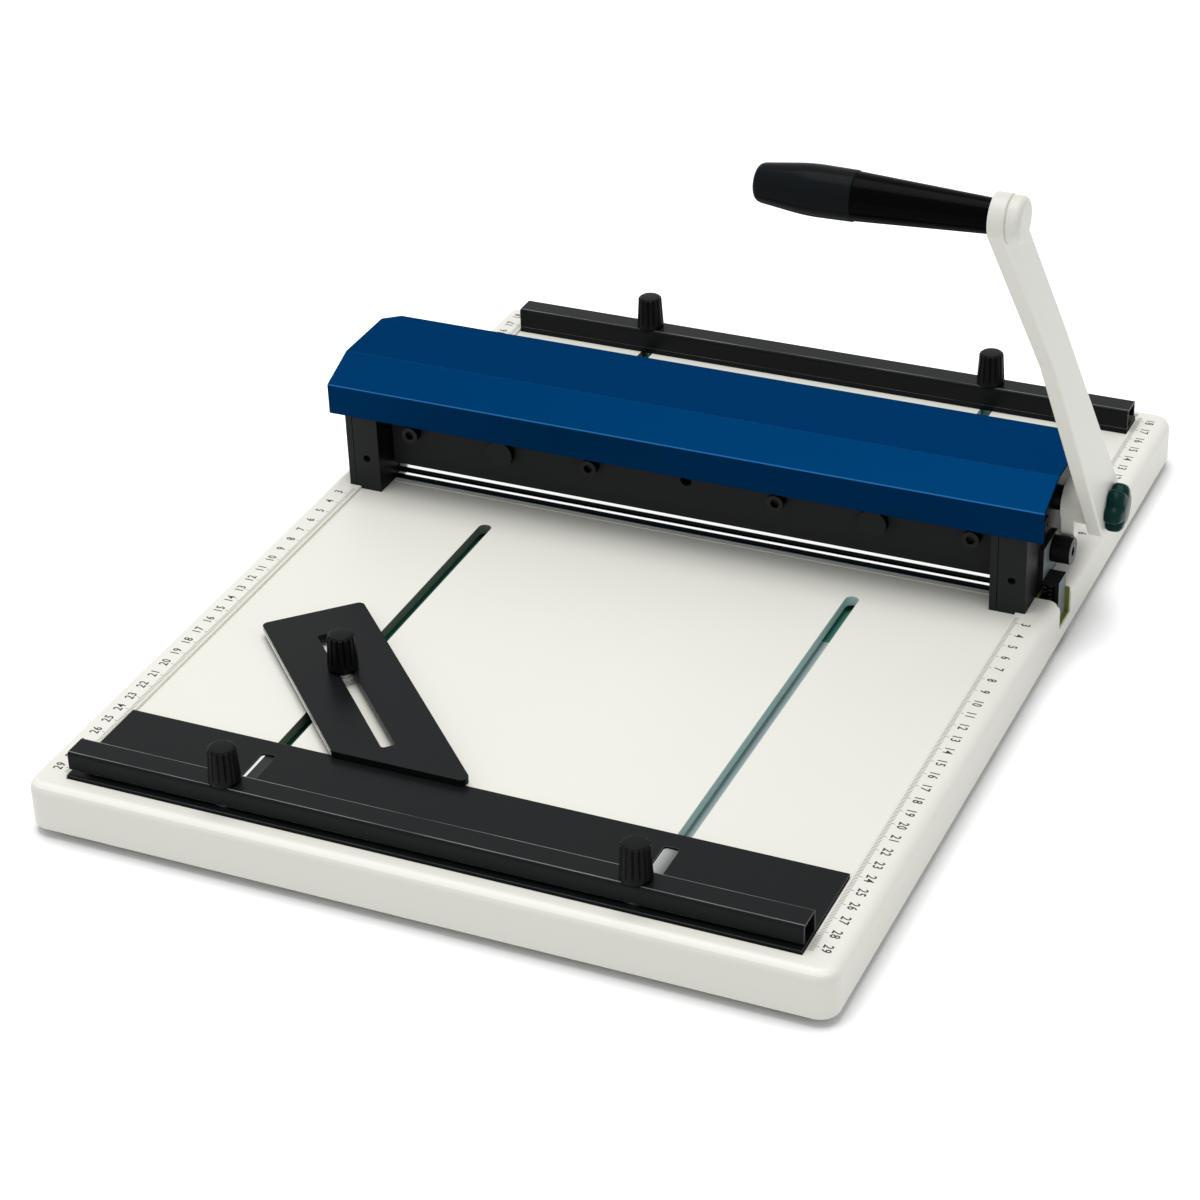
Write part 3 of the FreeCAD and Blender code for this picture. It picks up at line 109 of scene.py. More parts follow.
class CreaserSizes(bpy.types.PropertyGroup):
    """Sizes of the printed scales, the knobs and the spring"""
    numeral_height: length("Numeral height", "Height of the printed figures", 4.4)
    numeral_centre: length(
        "Numeral line", "Distance of the figures' middle from the middle of the table", 178.0)
    tick_start: length(
        "Tick start", "Distance of the ticks' inner end from the middle of the table", 171.3)
    tick_length: length("Millimetre tick", "Length of a millimetre tick", 2.2)
    long_tick: length("Centimetre tick", "Length of a centimetre tick", 3.6)
    tick_width: length("Tick width", "Width of a printed line", 0.22)
    stroke_growth: length("Stroke growth", "How far the ink spreads past a figure's outline", 0.1)
    print_lift: length("Ink height", "Height of the ink above the paint", 0.04)
    flute_depth: length("Flute depth", "Depth of the grooves round a clamping knob", 0.7)
    flutes: IntProperty(name="Flutes", description="Grooves round a clamping knob", default=14, min=3)
    star_notch: length("Star notch", "Depth of the hollows between the lobes of the star knob", 2.2)
    spring_wire: length("Spring wire", "Thickness of the wire of the stop spring", 1.2)
    spring_pitch: length("Spring pitch", "Distance from turn to turn of the stop spring", 1.9)


class CreaserColours(bpy.types.PropertyGroup):
    """Colours of the machine's finishes and of the floor"""
    cream: colour("Cream", "Powder coat of the table and the lever", "#E9E8DE")
    hood: colour("Hood blue", "Powder coat of the hood", "#012A54")
    hood_sheen: colour("Hood sheen", "Tinted sheen of the hood's coat", "#001A30")
    # Painted highlight along the hood's bend lines.
    hood_bend: colour("Hood bends", "Bends of the hood, where its coat is thin", "#2C659B")
    dark: colour("Dark grey", "Paint of the cheeks and the press beam", "#222425")
    # Painted light on the stop bracket's right-hand faces.
    bracket_side: colour("Bracket side", "Right-hand faces of the stop bracket", "#6A7274")
    black: colour("Black", "Powder coat of the gauges and the side guide", "#131516")
    # Wear mixed with a painted highlight on the black coat's corners; a painted highlight on its bend
    # lines.
    worn: colour("Worn edge", "Bends and edges where the black coat is thin", "#8C8F8E")
    # Painted highlight along the side guide's long left edge.
    rubbed_edge: colour("Rubbed edge", "Edge of the side guide, rubbed bare by the sheets", "#F4F5F0")
    # Painted light on the walls of the right slots.
    primed: colour("Primed wall", "Walls of the right slots, primed before coating", "#C6E0DC")
    # The notch's walls are drawn olive.
    notch: colour("Notch wall", "Walls of the notch beside the head, stained by oil", "#77782E")
    milled: colour("Milled wall", "Walls of the left slots, cut through the cast table", "#6C7666")
    # Painted light on the front of the right front shield, painted shade on the others.
    shield_pale: colour("Pale shield", "Front part of the shield under the right front slot", "#B4C9CB")
    shield_dark: colour("Dark shield", "Shields under the other slots", "#4A8A7C")
    ink: colour("Ink", "Printed scale figures and ticks", "#1F1813")
    zinc: colour("Zinc", "Bright zinc plate", "#C6C9C7")
    steel: colour("Steel", "Ground and polished steel", "#C4C5C4")
    oxide: colour("Black oxide", "Blackened screws", "#2A2A2A")
    # Painted glint on the blade's working edge and the die's front lip.
    ground: colour("Ground edge", "Polished edge of the blade and front lip of the die", "#FAFBFA")
    # Painted shade on the blade's sides and on the die's groove and rear.
    blade: colour("Blade", "Blackened sides of the blade", "#14181C")
    die: colour("Die", "Groove and rear of the die", "#0D1114")
    holder: colour("Die holder", "Blackened top of the die holder", "#0A1216")
    # Painted highlight along the front of the die holder's top.
    holder_edge: colour("Holder edge", "Thin front edge of the holder's top", "#5C8088")
    # Painted shade on the left runner, painted light and shade on the right one, painted highlight lines
    # on both.
    runner_dark: colour("Left runner", "Blackened left runner of the front gauge", "#1D2021")
    runner: colour("Right runner", "Bright side of the front gauge's right runner", "#B2B3B2")
    runner_shade: colour("Runner shade", "Dull side of the front gauge's right runner", "#6E7070")
    runner_line: colour("Runner line", "Rubbed line along each runner of the front gauge", "#F0F1EE")
    knob: colour("Knob black", "Moulded clamping knobs", "#121314")
    grip: colour("Grip black", "Taper of the handle grip", "#030303")
    # Painted reflection on the grip's crown.
    grip_crown: colour("Grip crown", "Crown of the handle grip, rubbed greyer", "#15181A")
    star: colour("Star knob", "Moulded star knob", "#022C2A")
    nylon: colour("White nylon", "Slide block and washer of the side guide", "#E4E4DC")
    rubber: colour("Rubber", "Feet", "#17181A")
    floor: colour("Floor", "Studio floor", "#FBFBFB")


# --- places and directions -------------------------------------------------------------------------

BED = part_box("front_gauge_plate")[0].z  # top of the bed, which lies lower than the table's rim
TABLE_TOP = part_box("base_table")[1].z
TABLE_LEFT, TABLE_RIGHT = [corner.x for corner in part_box("base_table")]
TABLE_MIDDLE = centre("base_table").x
CREASE_Y = centre("crease_matrix").y
SLOT_X = (centre("front_left_knob").x, centre("front_right_knob").x)
SLOT_SIDE = 6 * MM  # a slot's walls lie less than this to the side of its middle
SLOT_END = 243 * MM  # and less than this in front of the table's middle or behind it
NOTCH_FRONT, NOTCH_REAR = CREASE_Y - 5.75 * MM, CREASE_Y + 13.25 * MM  # in the table's right side
DIE_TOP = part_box("crease_matrix")[1].z
BLADE_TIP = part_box("crease_blade")[0].z
GLINT_BAND_HEIGHT = 2.3 * MM  # how far up the blade its painted glint reaches
HOLDER_HALF = 5.2 * MM  # half the depth of the die holder's blackened top
HOLDER_EDGE = 0.6 * MM  # depth of the painted highlight along its front
GUIDE_ANGLE = math.radians(45.6)  # how far the side guide is turned from the table's sides
GUIDE_EDGE = 25 * MM  # distance of the guide's long left edge from its stud
GRIP_FREE, GRIP_HELD = [corner.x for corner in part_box("handle_grip")]
GRIP_TAPER = 0.568  # share of the grip's length from its held end to its step
GRIP_STEP = GRIP_HELD - GRIP_TAPER * (GRIP_HELD - GRIP_FREE)

# Each pair is the range of one share of a face's direction, rightwards in TO_THE_RIGHT, else upwards.
UPRIGHT = (-0.5, 0.5)
# TO_THE_RIGHT picks right-hand faces: painted shade on the dark coat, painted light on the bracket.
TO_THE_RIGHT = (0.6, 1.01)
# GAUGE_BEND picks the gauges' bend lines for a painted highlight, TABLE_BEND the table's front bend.
GAUGE_BEND = (0.92, 0.99)
TABLE_BEND = (0.63, 0.97)
# HOOD_FOLD and HOOD_SHALLOW_FOLD pick the hood's folds, which get a painted highlight.
HOOD_FOLD = (0.38, 0.82)
HOOD_SHALLOW_FOLD = (0.95, 0.99)
# HOOD_LIP picks the hood's upright lips, which get painted shade.
HOOD_LIP = (-0.08, 0.08)

# Painted reflection: the blade and die shade with a fixed normal mirroring the room ahead and a little
# above.
GLINT_NORMAL = (0.1, -0.93, 0.35)


# --- materials -------------------------------------------------------------------------------------

def add(tree, kind, inputs=(), **settings):
    """Adds a node, sets its settings, and gives each input a value or a link."""
    made = tree.nodes.new(kind)
    for name, value in settings.items():
        setattr(made, name, value)
    for key, value in dict(inputs).items():
        if isinstance(value, bpy.types.NodeSocket):
            tree.links.new(value, made.inputs[key])
        else:
            made.inputs[key].default_value = value
    return made


def start_material(name):
    """A material's empty tree and the object's own coordinates, in metres."""
    made = bpy.data.materials.new(name)
    made.use_nodes = True
    made.node_tree.nodes.clear()
    return made, made.node_tree, add(made.node_tree, "ShaderNodeTexCoord").outputs["Object"]


def end_material(made, shader):
    """Links a shader to a material's output."""
    add(made.node_tree, "ShaderNodeOutputMaterial", {"Surface": shader.outputs[0]})
    return made


def facing(tree):
    """The three shares of the direction a face looks in, in the object's own axes."""
    normal = add(tree, "ShaderNodeTexCoord").outputs["Normal"]
    return add(tree, "ShaderNodeSeparateXYZ", {0: normal}).outputs


def within(tree, *bands, share=1.0):
    """A mask with this share where every value lies between its two limits, else 0."""
    mask = share
    for value, low, high in bands:
        inside = add(tree, "ShaderNodeMath", {
            0: value, 1: (low + high) / 2, 2: (high - low) / 2}, operation="COMPARE").outputs[0]
        mask = add(tree, "ShaderNodeMath", {0: inside, 1: mask}, operation="MULTIPLY").outputs[0]
    return mask


def layered(tree, base, *layers):
    """A colour with others laid over it in turn by their masks; each is a link or plain shares."""
    for mask, over in layers:
        pair = [tone if isinstance(tone, bpy.types.NodeSocket) else (*tone, 1) for tone in (base, over)]
        base = add(tree, "ShaderNodeMix", {0: mask, 6: pair[0], 7: pair[1]}, data_type="RGBA").outputs[2]
    return base


def tinted(tree, place, base, spread, cell):
    """A colour that drifts a little darker and lighter over cells of this many millimetres."""
    noise = add(tree, "ShaderNodeTexNoise", {"Vector": place, "Scale": per_mm(cell), "Detail": 3.0})
    return layered(tree, scaled(base, 1 - spread), (noise.outputs["Fac"], scaled(base, 1 + spread)))


def varied(tree, place, middle, spread, cell):
    """A value that drifts by this spread over cells of this many millimetres.

    The noise lies between 0.3 and 0.7 nearly everywhere.
    """
    noise = add(tree, "ShaderNodeTexNoise", {"Vector": place, "Scale": per_mm(cell), "Detail": 4.0})
    return add(tree, "ShaderNodeMapRange", {
        "Value": noise.outputs["Fac"], "From Min": 0.3, "From Max": 0.7,
        "To Min": middle - spread, "To Max": middle + spread,
    }).outputs[0]


def bumped(tree, place, cell, height, corner):
    """The surface's direction, with its corners rounded and a fine relief over it.

    The cells' width and the corners' radius are in millimetres, the relief's height in micrometres.
    """
    rounded = add(tree, "ShaderNodeBevel", {"Radius": corner * MM}, samples=6)
    noise = add(tree, "ShaderNodeTexNoise", {"Vector": place, "Scale": per_mm(cell), "Detail": 2.0})
    return add(tree, "ShaderNodeBump", {
        "Strength": 1.0, "Distance": height * 1e-6, "Height": noise.outputs["Fac"],
        "Normal": rounded.outputs[0],
    }).outputs[0]


def corner_mask(tree, corner):
    """1 along corners, outer and inner, 0 on flat faces."""
    rounded = add(tree, "ShaderNodeBevel", {"Radius": corner * MM}, samples=6).outputs[0]
    flat = add(tree, "ShaderNodeNewGeometry").outputs["True Normal"]
    level = add(tree, "ShaderNodeVectorMath", {0: rounded, 1: flat}, operation="DOT_PRODUCT")
    return add(tree, "ShaderNodeMapRange", {
        "Value": level.outputs["Value"], "From Min": 0.97, "From Max": 0.80, "To Min": 0.0, "To Max": 1.0,
    }).outputs[0]


def powder_coat(name, base, roughness, peel, worn=None, level=0.5, corner=0.35, right=None):
    """Baked powder on metal: a faint orange peel breaks up the highlights, and corners look soft.

    Corners show wear mixed with a painted highlight, bend lines a painted highlight.
    Its right-hand faces can take painted light and shade of their own.
    """
    made, tree, place = start_material(name)
    coat = tinted(tree, place, base, 0.03, 25)
    if right:
        # painted light and shade on the right-hand faces, in the colour given as right
        coat = layered(tree, coat, (within(tree, (facing(tree)[0], *TO_THE_RIGHT)), right))
    if worn:
        # painted highlight along the bend lines; along corners, wear mixed with painted highlight
        bend_highlight = within(tree, (facing(tree)[2], *GAUGE_BEND))
        edges = add(tree, "ShaderNodeMath", {0: corner_mask(tree, corner), 1: bend_highlight}, operation="MAXIMUM")
        thin = add(tree, "ShaderNodeMath", {
            0: edges.outputs[0], 1: varied(tree, place, 0.6, 0.4, 40)}, operation="MULTIPLY")
        coat = layered(tree, coat, (thin.outputs[0], worn))
    shader = add(tree, "ShaderNodeBsdfPrincipled", {
        "Base Color": coat, "Roughness": varied(tree, place, roughness, 0.05, 0.8),
        "Specular IOR Level": level, "Normal": bumped(tree, place, 1.4, peel, corner),
    })
    return end_material(made, shader)


def enamelled_table(colours):
    """Cream coat on a cast table, milled after coating.

    The left slots' walls show bare grey alloy; the right ones' walls are pale as painted light.
    The notch's walls beside the head are olive. A painted highlight lightens the front bend.
    """
    made, tree, place = start_material("cream_powder_coat_on_casting")
    look = facing(tree)
    across, along, height = add(tree, "ShaderNodeSeparateXYZ", {0: place}).outputs
    ahead = add(tree, "ShaderNodeMapRange", {
        "Value": look[1], "From Min": 0.0, "From Max": -0.5}).outputs[0]
    # painted highlight along the table's front bend
    front_bend_highlight = within(tree, (look[2], *TABLE_BEND), share=ahead)
    notch = within(
        tree, (across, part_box("cheek_plates")[1].x - 0.5 * MM, TABLE_RIGHT - 0.8 * MM),
        (along, NOTCH_FRONT, NOTCH_REAR), (height, -TABLE_TOP, TABLE_TOP - 1.5 * MM))
    coat = layered(
        tree, tinted(tree, place, colours.cream, 0.012, 60),
        (front_bend_highlight, scaled(colours.cream, 1.14)), (notch, colours.notch))
    paint = add(tree, "ShaderNodeBsdfPrincipled", {
        "Base Color": coat, "Roughness": varied(tree, place, 0.42, 0.05, 1.2),
        "Specular IOR Level": 0.3, "Normal": bumped(tree, place, 1.6, 6, 0.5),
    })
    on_right = within(tree, (across, TABLE_MIDDLE, TABLE_RIGHT))
    # painted light: the right slots' walls are drawn pale
    wall = layered(tree, tinted(tree, place, colours.milled, 0.15, 3), (on_right, colours.primed))
    rounded = add(tree, "ShaderNodeBevel", {"Radius": 0.5 * MM}, samples=6).outputs[0]
    milled = add(tree, "ShaderNodeBsdfPrincipled", {
        "Base Color": wall, "Specular IOR Level": 0.2,
        "Roughness": varied(tree, place, 0.5, 0.08, 0.5), "Normal": rounded,
    })
    slots = [within(
        tree, (across, middle - SLOT_SIDE, middle + SLOT_SIDE), (along, -SLOT_END, SLOT_END),
        (height, -BED, BED - 0.05 * MM), (look[2], *UPRIGHT)) for middle in SLOT_X]
    mask = add(tree, "ShaderNodeMath", {0: slots[0], 1: slots[1]}, operation="MAXIMUM").outputs[0]
    shader = add(tree, "ShaderNodeMixShader", {0: mask, 1: paint.outputs[0], 2: milled.outputs[0]})
    return end_material(made, shader)


def hood_coat(colours):
    """Satin blue coat whose sheen keeps its blue.

    Painted highlights pale the folds, faintly the shallow one; painted shade darkens upright lips.
    """
    made, tree, place = start_material("blue_powder_coat_on_sheet_steel")
    up = facing(tree)[2]
    coat = layered(
        tree, tinted(tree, place, colours.hood, 0.03, 25),
        # painted shade on the upright lips
        (within(tree, (up, *HOOD_LIP)), scaled(colours.hood, 0.6)),
        # painted highlights along the folds, faint along the shallow one
        (within(tree, (up, *HOOD_FOLD)), colours.hood_bend),
        (within(tree, (up, *HOOD_SHALLOW_FOLD), share=0.25), colours.hood_bend))
    grain = bumped(tree, place, 1.4, 7, 0.5)
    body = add(tree, "ShaderNodeBsdfDiffuse", {"Color": coat, "Normal": grain})
    sheen = add(tree, "ShaderNodeBsdfAnisotropic", {
        "Color": (*colours.hood_sheen, 1), "Roughness": varied(tree, place, 0.38, 0.04, 0.8),
        "Normal": grain,
    })
    return end_material(made, add(tree, "ShaderNodeAddShader", {0: body.outputs[0], 1: sheen.outputs[0]}))


def guide_coat(colours):
    """Black coat on the side guide, with painted highlights along its long left edge."""
    made, tree, place = start_material("black_powder_coat_on_guide")
    look = facing(tree)
    across = Vector((math.sin(GUIDE_ANGLE), math.cos(GUIDE_ANGLE), 0))
    stud = across.dot(centre("side_guide_knob"))
    away = add(tree, "ShaderNodeVectorMath", {0: place, 1: across},
               operation="DOT_PRODUCT").outputs["Value"]
    height = add(tree, "ShaderNodeSeparateXYZ", {0: place}).outputs[2]
    slack, tilt = 8 * MM, 0.12
    left_edge = (
        (away, stud - GUIDE_EDGE - slack, stud - GUIDE_EDGE + slack),
        (look[0], -across.x - tilt, -across.x + tilt), (look[1], -across.y - tilt, -across.y + tilt))
    low, top = [corner.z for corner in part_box("side_guide_plate")]
    coat = layered(
        tree, tinted(tree, place, colours.black, 0.03, 25),
        # painted highlights along the top and bottom of the guide's long left edge
        (within(tree, *left_edge, (height, top - 0.65 * MM, top + 0.05 * MM)), colours.rubbed_edge),
        (within(tree, *left_edge, (height, low, low + 1.6 * MM)), colours.rubbed_edge))
    shader = add(tree, "ShaderNodeBsdfPrincipled", {
        "Base Color": coat, "Roughness": varied(tree, place, 0.32, 0.05, 0.8),
        "Specular IOR Level": 0.08, "Normal": bumped(tree, place, 1.4, 4, 0.3),
    })
    return end_material(made, shader)


def gauge_runner(colours):
    """Steel runners in the gauge's windows: painted shade on the left, painted light on the right."""
    made, tree, place = start_material("steel_runner_with_painted_light")
    across = add(tree, "ShaderNodeSeparateXYZ", {0: place}).outputs[0]
    left, right = SLOT_X
    shade = add(tree, "ShaderNodeMapRange", {
        "Value": across, "From Min": right - 3 * MM, "From Max": right + 2 * MM}).outputs[0]
    tone = layered(
        # painted light across the right runner, fading to painted shade
        tree, layered(tree, colours.runner, (shade, colours.runner_shade)),
        # painted shade on the left runner
        (within(tree, (across, TABLE_LEFT, TABLE_MIDDLE)), colours.runner_dark),
        # painted highlight lines along each runner
        (within(tree, (across, left - 3.4 * MM, left - 2.0 * MM)), colours.runner_line),
        (within(tree, (across, right - 3.5 * MM, right - 3.1 * MM)), colours.runner_line))
    lines = add(tree, "ShaderNodeMapping", {"Vector": place, "Scale": (1, 0.1, 1)}).outputs[0]
    shader = add(tree, "ShaderNodeBsdfPrincipled", {
        "Base Color": tone, "Specular IOR Level": 0.2, "Roughness": varied(tree, lines, 0.4, 0.1, 0.25),
        "Normal": bumped(tree, lines, 0.25, 3, 0.2),
    })
    return end_material(made, shader)


def bare_metal(name, base, roughness, grain, stretch, corner=0.2):
    """Worked metal: fine lines along the tool's path spread the highlights across them."""
    made, tree, place = start_material(name)
    lines = add(tree, "ShaderNodeMapping", {"Vector": place, "Scale": stretch}).outputs[0]
    shader = add(tree, "ShaderNodeBsdfPrincipled", {
        "Base Color": tinted(tree, place, base, 0.05, 8), "Metallic": 1.0,
        "Roughness": varied(tree, lines, roughness, roughness * 0.25, grain),
        "Normal": bumped(tree, lines, grain, 2, corner),
    })
    return end_material(made, shader)


def moulded(name, base, roughness, texture, height, level=0.5, grooves=None):
    """Moulded plastic: the mould's skin leaves a fine even grain, and corners catch a thin light.

    Painted shade darkens grooves of this width in millimetres against the ridges.
    """
    made, tree, place = start_material(name)
    tone = tinted(tree, place, base, 0.06, 5)
    if grooves:
        # painted shade in the grooves, found by ambient occlusion
        open_air = add(tree, "ShaderNodeAmbientOcclusion", {"Distance": grooves * MM},
                       samples=8).outputs["AO"]
        unshaded_ridge = add(tree, "ShaderNodeMapRange", {
            "Value": open_air, "From Min": 0.72, "From Max": 0.93}).outputs[0]
        tone = layered(tree, scaled(base, 0.12), (unshaded_ridge, tone))
    shader = add(tree, "ShaderNodeBsdfPrincipled", {
        "Base Color": tone, "IOR": 1.5,
        "Roughness": varied(tree, place, roughness, roughness * 0.15, 2),
        "Specular IOR Level": level, "Normal": bumped(tree, place, texture, height, 0.25),
    })
    return end_material(made, shader)


def lever_coat(colours):
    """Cream coat whose upper faces are drawn a slightly deeper tone as painted shade."""
    made, tree, place = start_material("cream_powder_coat_on_lever")
    # painted shade on the upper faces
    up = add(tree, "ShaderNodeMapRange", {
        "Value": facing(tree)[2], "From Min": 0.0, "From Max": 1.0}).outputs[0]
    shader = add(tree, "ShaderNodeBsdfPrincipled", {
        "Base Color": layered(tree, colours.cream, (up, scaled(colours.cream, 0.78))),
        "Roughness": varied(tree, place, 0.40, 0.05, 0.8), "Specular IOR Level": 0.3,
        "Normal": bumped(tree, place, 1.4, 6, 0.6),
    })
    return end_material(made, shader)


def hollow_ground(made, tree, dull, edge, bright):
    """Dark steel with a bright band as a painted glint, its fixed normal making a painted reflection."""
    leaning = add(tree, "ShaderNodeCombineXYZ", dict(enumerate(GLINT_NORMAL))).outputs[0]
    shader = add(tree, "ShaderNodeBsdfPrincipled", {
        "Base Color": layered(tree, dull, (edge, bright)), "Metallic": 1.0,
        "Roughness": 0.12, "Normal": leaning,
    })
    return end_material(made, shader)


def blade_steel(colours):
    """Dark blade in painted shade, with a painted glint along its working edge."""
    made, tree, place = start_material("blade_with_painted_glint")
    height = add(tree, "ShaderNodeSeparateXYZ", {0: place}).outputs[2]
    edge = within(tree, (height, BLADE_TIP - GLINT_BAND_HEIGHT, BLADE_TIP + GLINT_BAND_HEIGHT))
    return hollow_ground(made, tree, colours.blade, edge, colours.ground)


def die_steel(colours):
    """Die in painted shade, with a painted glint on its front lip beside the dark groove."""
    made, tree, place = start_material("die_with_painted_glint")
    along, height = add(tree, "ShaderNodeSeparateXYZ", {0: place}).outputs[1:3]
    lip = within(
        tree, (height, DIE_TOP - 0.1 * MM, DIE_TOP + 0.1 * MM),
        (along, CREASE_Y - HOLDER_HALF, CREASE_Y))
    return hollow_ground(made, tree, colours.die, lip, colours.ground)


def holder_paint(colours):
    """Blackened die holder, with its shoulders coated like the bed round them."""
    made, tree, place = start_material("blackened_holder")
    along = add(tree, "ShaderNodeSeparateXYZ", {0: place}).outputs[1]
    front = CREASE_Y - HOLDER_HALF
    tone = layered(
        tree, colours.cream, (within(tree, (along, front, CREASE_Y + HOLDER_HALF)), colours.holder),
        # painted highlight: a thin light line along the holder's front
        (within(tree, (along, front, front + HOLDER_EDGE)), colours.holder_edge))
    shader = add(tree, "ShaderNodeBsdfPrincipled", {
        "Base Color": tone, "Roughness": varied(tree, place, 0.42, 0.05, 1.2), "Specular IOR Level": 0.2,
        "Normal": add(tree, "ShaderNodeBevel", {"Radius": 0.2 * MM}, samples=6).outputs[0],
    })
    return end_material(made, shader)


def turned_grip(colours):
    """Turned and polished grip: a painted reflection makes the crown at its end greyer than the taper."""
    made, tree, place = start_material("moulded_phenolic")
    across = add(tree, "ShaderNodeSeparateXYZ", {0: place}).outputs[0]
    # painted reflection on the crown
    crown = within(tree, (across, GRIP_FREE - MM, GRIP_STEP))
    shader = add(tree, "ShaderNodeBsdfPrincipled", {
        "Base Color": layered(tree, colours.grip, (crown, colours.grip_crown)), "Roughness": 0.2,
        "Specular IOR Level": 0.02, "Normal": bumped(tree, place, 1.5, 1, 0.25),
    })
    return end_material(made, shader)


def printed_ink(colours):
    """Screen-printed ink: dark and slightly uneven in depth, duller than the coat under it."""
    made, tree, place = start_material("screen_printed_ink")
    shader = add(tree, "ShaderNodeBsdfPrincipled", {
        "Base Color": tinted(tree, place, colours.ink, 0.3, 0.6), "Roughness": 0.6,
    })
    return end_material(made, shader)


def seen_directly(tree):
    """1 for what the camera sees, also in a mirror, 0 for the light that lands on the object."""
    rays = add(tree, "ShaderNodeLightPath").outputs
    return add(tree, "ShaderNodeMath", {0: rays["Is Camera Ray"], 1: rays["Is Glossy Ray"]},
               operation="MAXIMUM").outputs[0]


def studio_paper(colours):
    """Studio paper: white where the light is even, and it keeps the object's soft shadow.

    Its own light fades in the corner under the table, and makes up for the lamp's falloff far away.
    """
    made, tree, place = start_material("studio_paper")
    paper = add(tree, "ShaderNodeBsdfDiffuse", {"Color": tinted(tree, place, colours.floor, 0.005, 300)})
    open_air = add(tree, "ShaderNodeAmbientOcclusion", {"Distance": 30 * MM}, samples=12).outputs["AO"]
    clear = add(tree, "ShaderNodeMapRange", {
        "Value": open_air, "From Min": 0.55, "From Max": 0.92, "To Min": 0.0, "To Max": 0.42}).outputs[0]
    reach = add(tree, "ShaderNodeVectorMath", {0: place}, operation="LENGTH").outputs["Value"]
    distant = add(tree, "ShaderNodeMapRange", {
        "Value": reach, "From Min": 0.7, "From Max": 1.6, "To Min": 0.0, "To Max": 0.6}).outputs[0]
    lift = add(tree, "ShaderNodeMath", {0: clear, 1: distant}, operation="ADD").outputs[0]
    strength = add(tree, "ShaderNodeMath", {0: seen_directly(tree), 1: lift},
                   operation="MULTIPLY").outputs[0]
    glow = add(tree, "ShaderNodeEmission", {"Color": (1, 1, 1, 1), "Strength": strength})
    return end_material(made, add(tree, "ShaderNodeAddShader", {0: paper.outputs[0], 1: glow.outputs[0]}))


def material(name, context):
    """One of the machine's finishes, made at its first use."""
    made = MADE.get(name)
    if made is None:
        made = MADE[name] = FINISHES[name](context.scene.creaser_colours)
    return made


MADE = {}
FINISHES = {
    "table": enamelled_table,
    "lever": lever_coat,
    "hood": hood_coat,
    # painted shade: the dark coat's right-hand faces are drawn near black
    "dark": lambda c: powder_coat(
        "dark_grey_paint_on_steel", c.dark, 0.48, 5, level=0.1, corner=0.3, right=scaled(c.dark, 0.12)),
    # painted light: the bracket's right-hand faces are drawn light grey
    "bracket": lambda c: powder_coat(
        "blackened_bracket", scaled(c.dark, 0.5), 0.5, 5, level=0.1, corner=0.3, right=c.bracket_side),
    "black": lambda c: powder_coat(
        "black_powder_coat_on_sheet_steel", c.black, 0.32, 4, worn=c.worn, level=0.08, corner=0.4),
    "guide": guide_coat,
    "runner": gauge_runner,
    "shield_with_painted_light": lambda c: powder_coat("painted_light_on_strip", c.shield_pale, 0.6, 5, level=0.1),
    "shield_with_painted_shade": lambda c: powder_coat("painted_shade_on_strip", c.shield_dark, 0.6, 5, level=0.1),
    "zinc": lambda c: bare_metal("bright_zinc_plate", c.zinc, 0.34, 0.25, (1, 0.1, 1)),
    "steel": lambda c: bare_metal("ground_steel", c.steel, 0.30, 0.2, (0.08, 1, 1)),
    "blade": blade_steel,
    "die": die_steel,
    "holder": holder_paint,
    "oxide": lambda c: bare_metal("black_oxide_on_steel", c.oxide, 0.42, 0.3, (1, 1, 1), 0.15),
    "knob": lambda c: moulded("moulded_black_nylon", c.knob, 0.32, 0.35, 5, level=0.06, grooves=2.0),
    "grip": turned_grip,
    "nylon": lambda c: moulded("moulded_white_nylon", c.nylon, 0.45, 0.8, 3, level=0.2),
    "star": lambda c: moulded("moulded_phenolic_green_black", c.star, 0.2, 1.2, 1, level=0.06),
    "rubber": lambda c: moulded("moulded_rubber", c.rubber, 0.8, 0.4, 8, level=0.2),
    "ink": printed_ink,
    "floor": studio_paper,
}

TABLE_NODES = {
    "table": ("base_table",),
    "oxide": ("foot_screws",),
    "rubber": ("rubber_feet",),
    "zinc": ("base_bottom_plate",),
}
HEAD_NODES = {
    "dark": ("left_cheek_block", "right_cheek_block", "cheek_plates", "clamp_plate", "press_beam",
             "rear_tie_bar", "yoke_blocks", "yoke_pins", "cheek_side_screw", "shaft_bushes",
             "shaft_collar"),
    "hood": ("hood",),
    "die": ("crease_matrix",),
    "holder": ("die_holder",),
    "blade": ("crease_blade",),
    "steel": ("hinge_pins",),
    "oxide": ("cheek_grub_screws", "cheek_mount_screws", "tie_bar_screws", "die_screws", "beam_cap_screws",
              "hood_rivets", "hinge_fixed_leaves", "hood_hinge_leaves", "main_shaft"),
    "bracket": ("stop_bracket",),
    "knob": ("stop_screw",),
}
LEVER_NODES = {
    "lever": ("lever_hub", "lever_arm", "handle_cap"),
    "steel": ("lever_hub_pin", "lever_clamp_stud", "handle_spindle"),
}
GAUGE_NODES = {
    "black": ("front_gauge_plate", "front_gauge_bar", "rear_gauge_plate", "rear_gauge_bar"),
    "guide": ("side_guide_plate",),
    "runner": ("front_gauge_runners",),
    "zinc": ("rear_gauge_runners", "front_gauge_bolts", "rear_gauge_bolts", "front_gauge_spacers",
             "rear_gauge_spacers"),
    "oxide": ("guide_bolt",),
    "nylon": ("guide_slide_block", "guide_washer"),
    "knob": ("guide_top_washer",),
}


def paint(groups, context):
    """Gives each CAD piece its finish."""
    for finish, names in groups.items():
        for name in names:
            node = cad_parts[name]
            node.data.materials.clear()
            node.data.materials.append(material(finish, context))


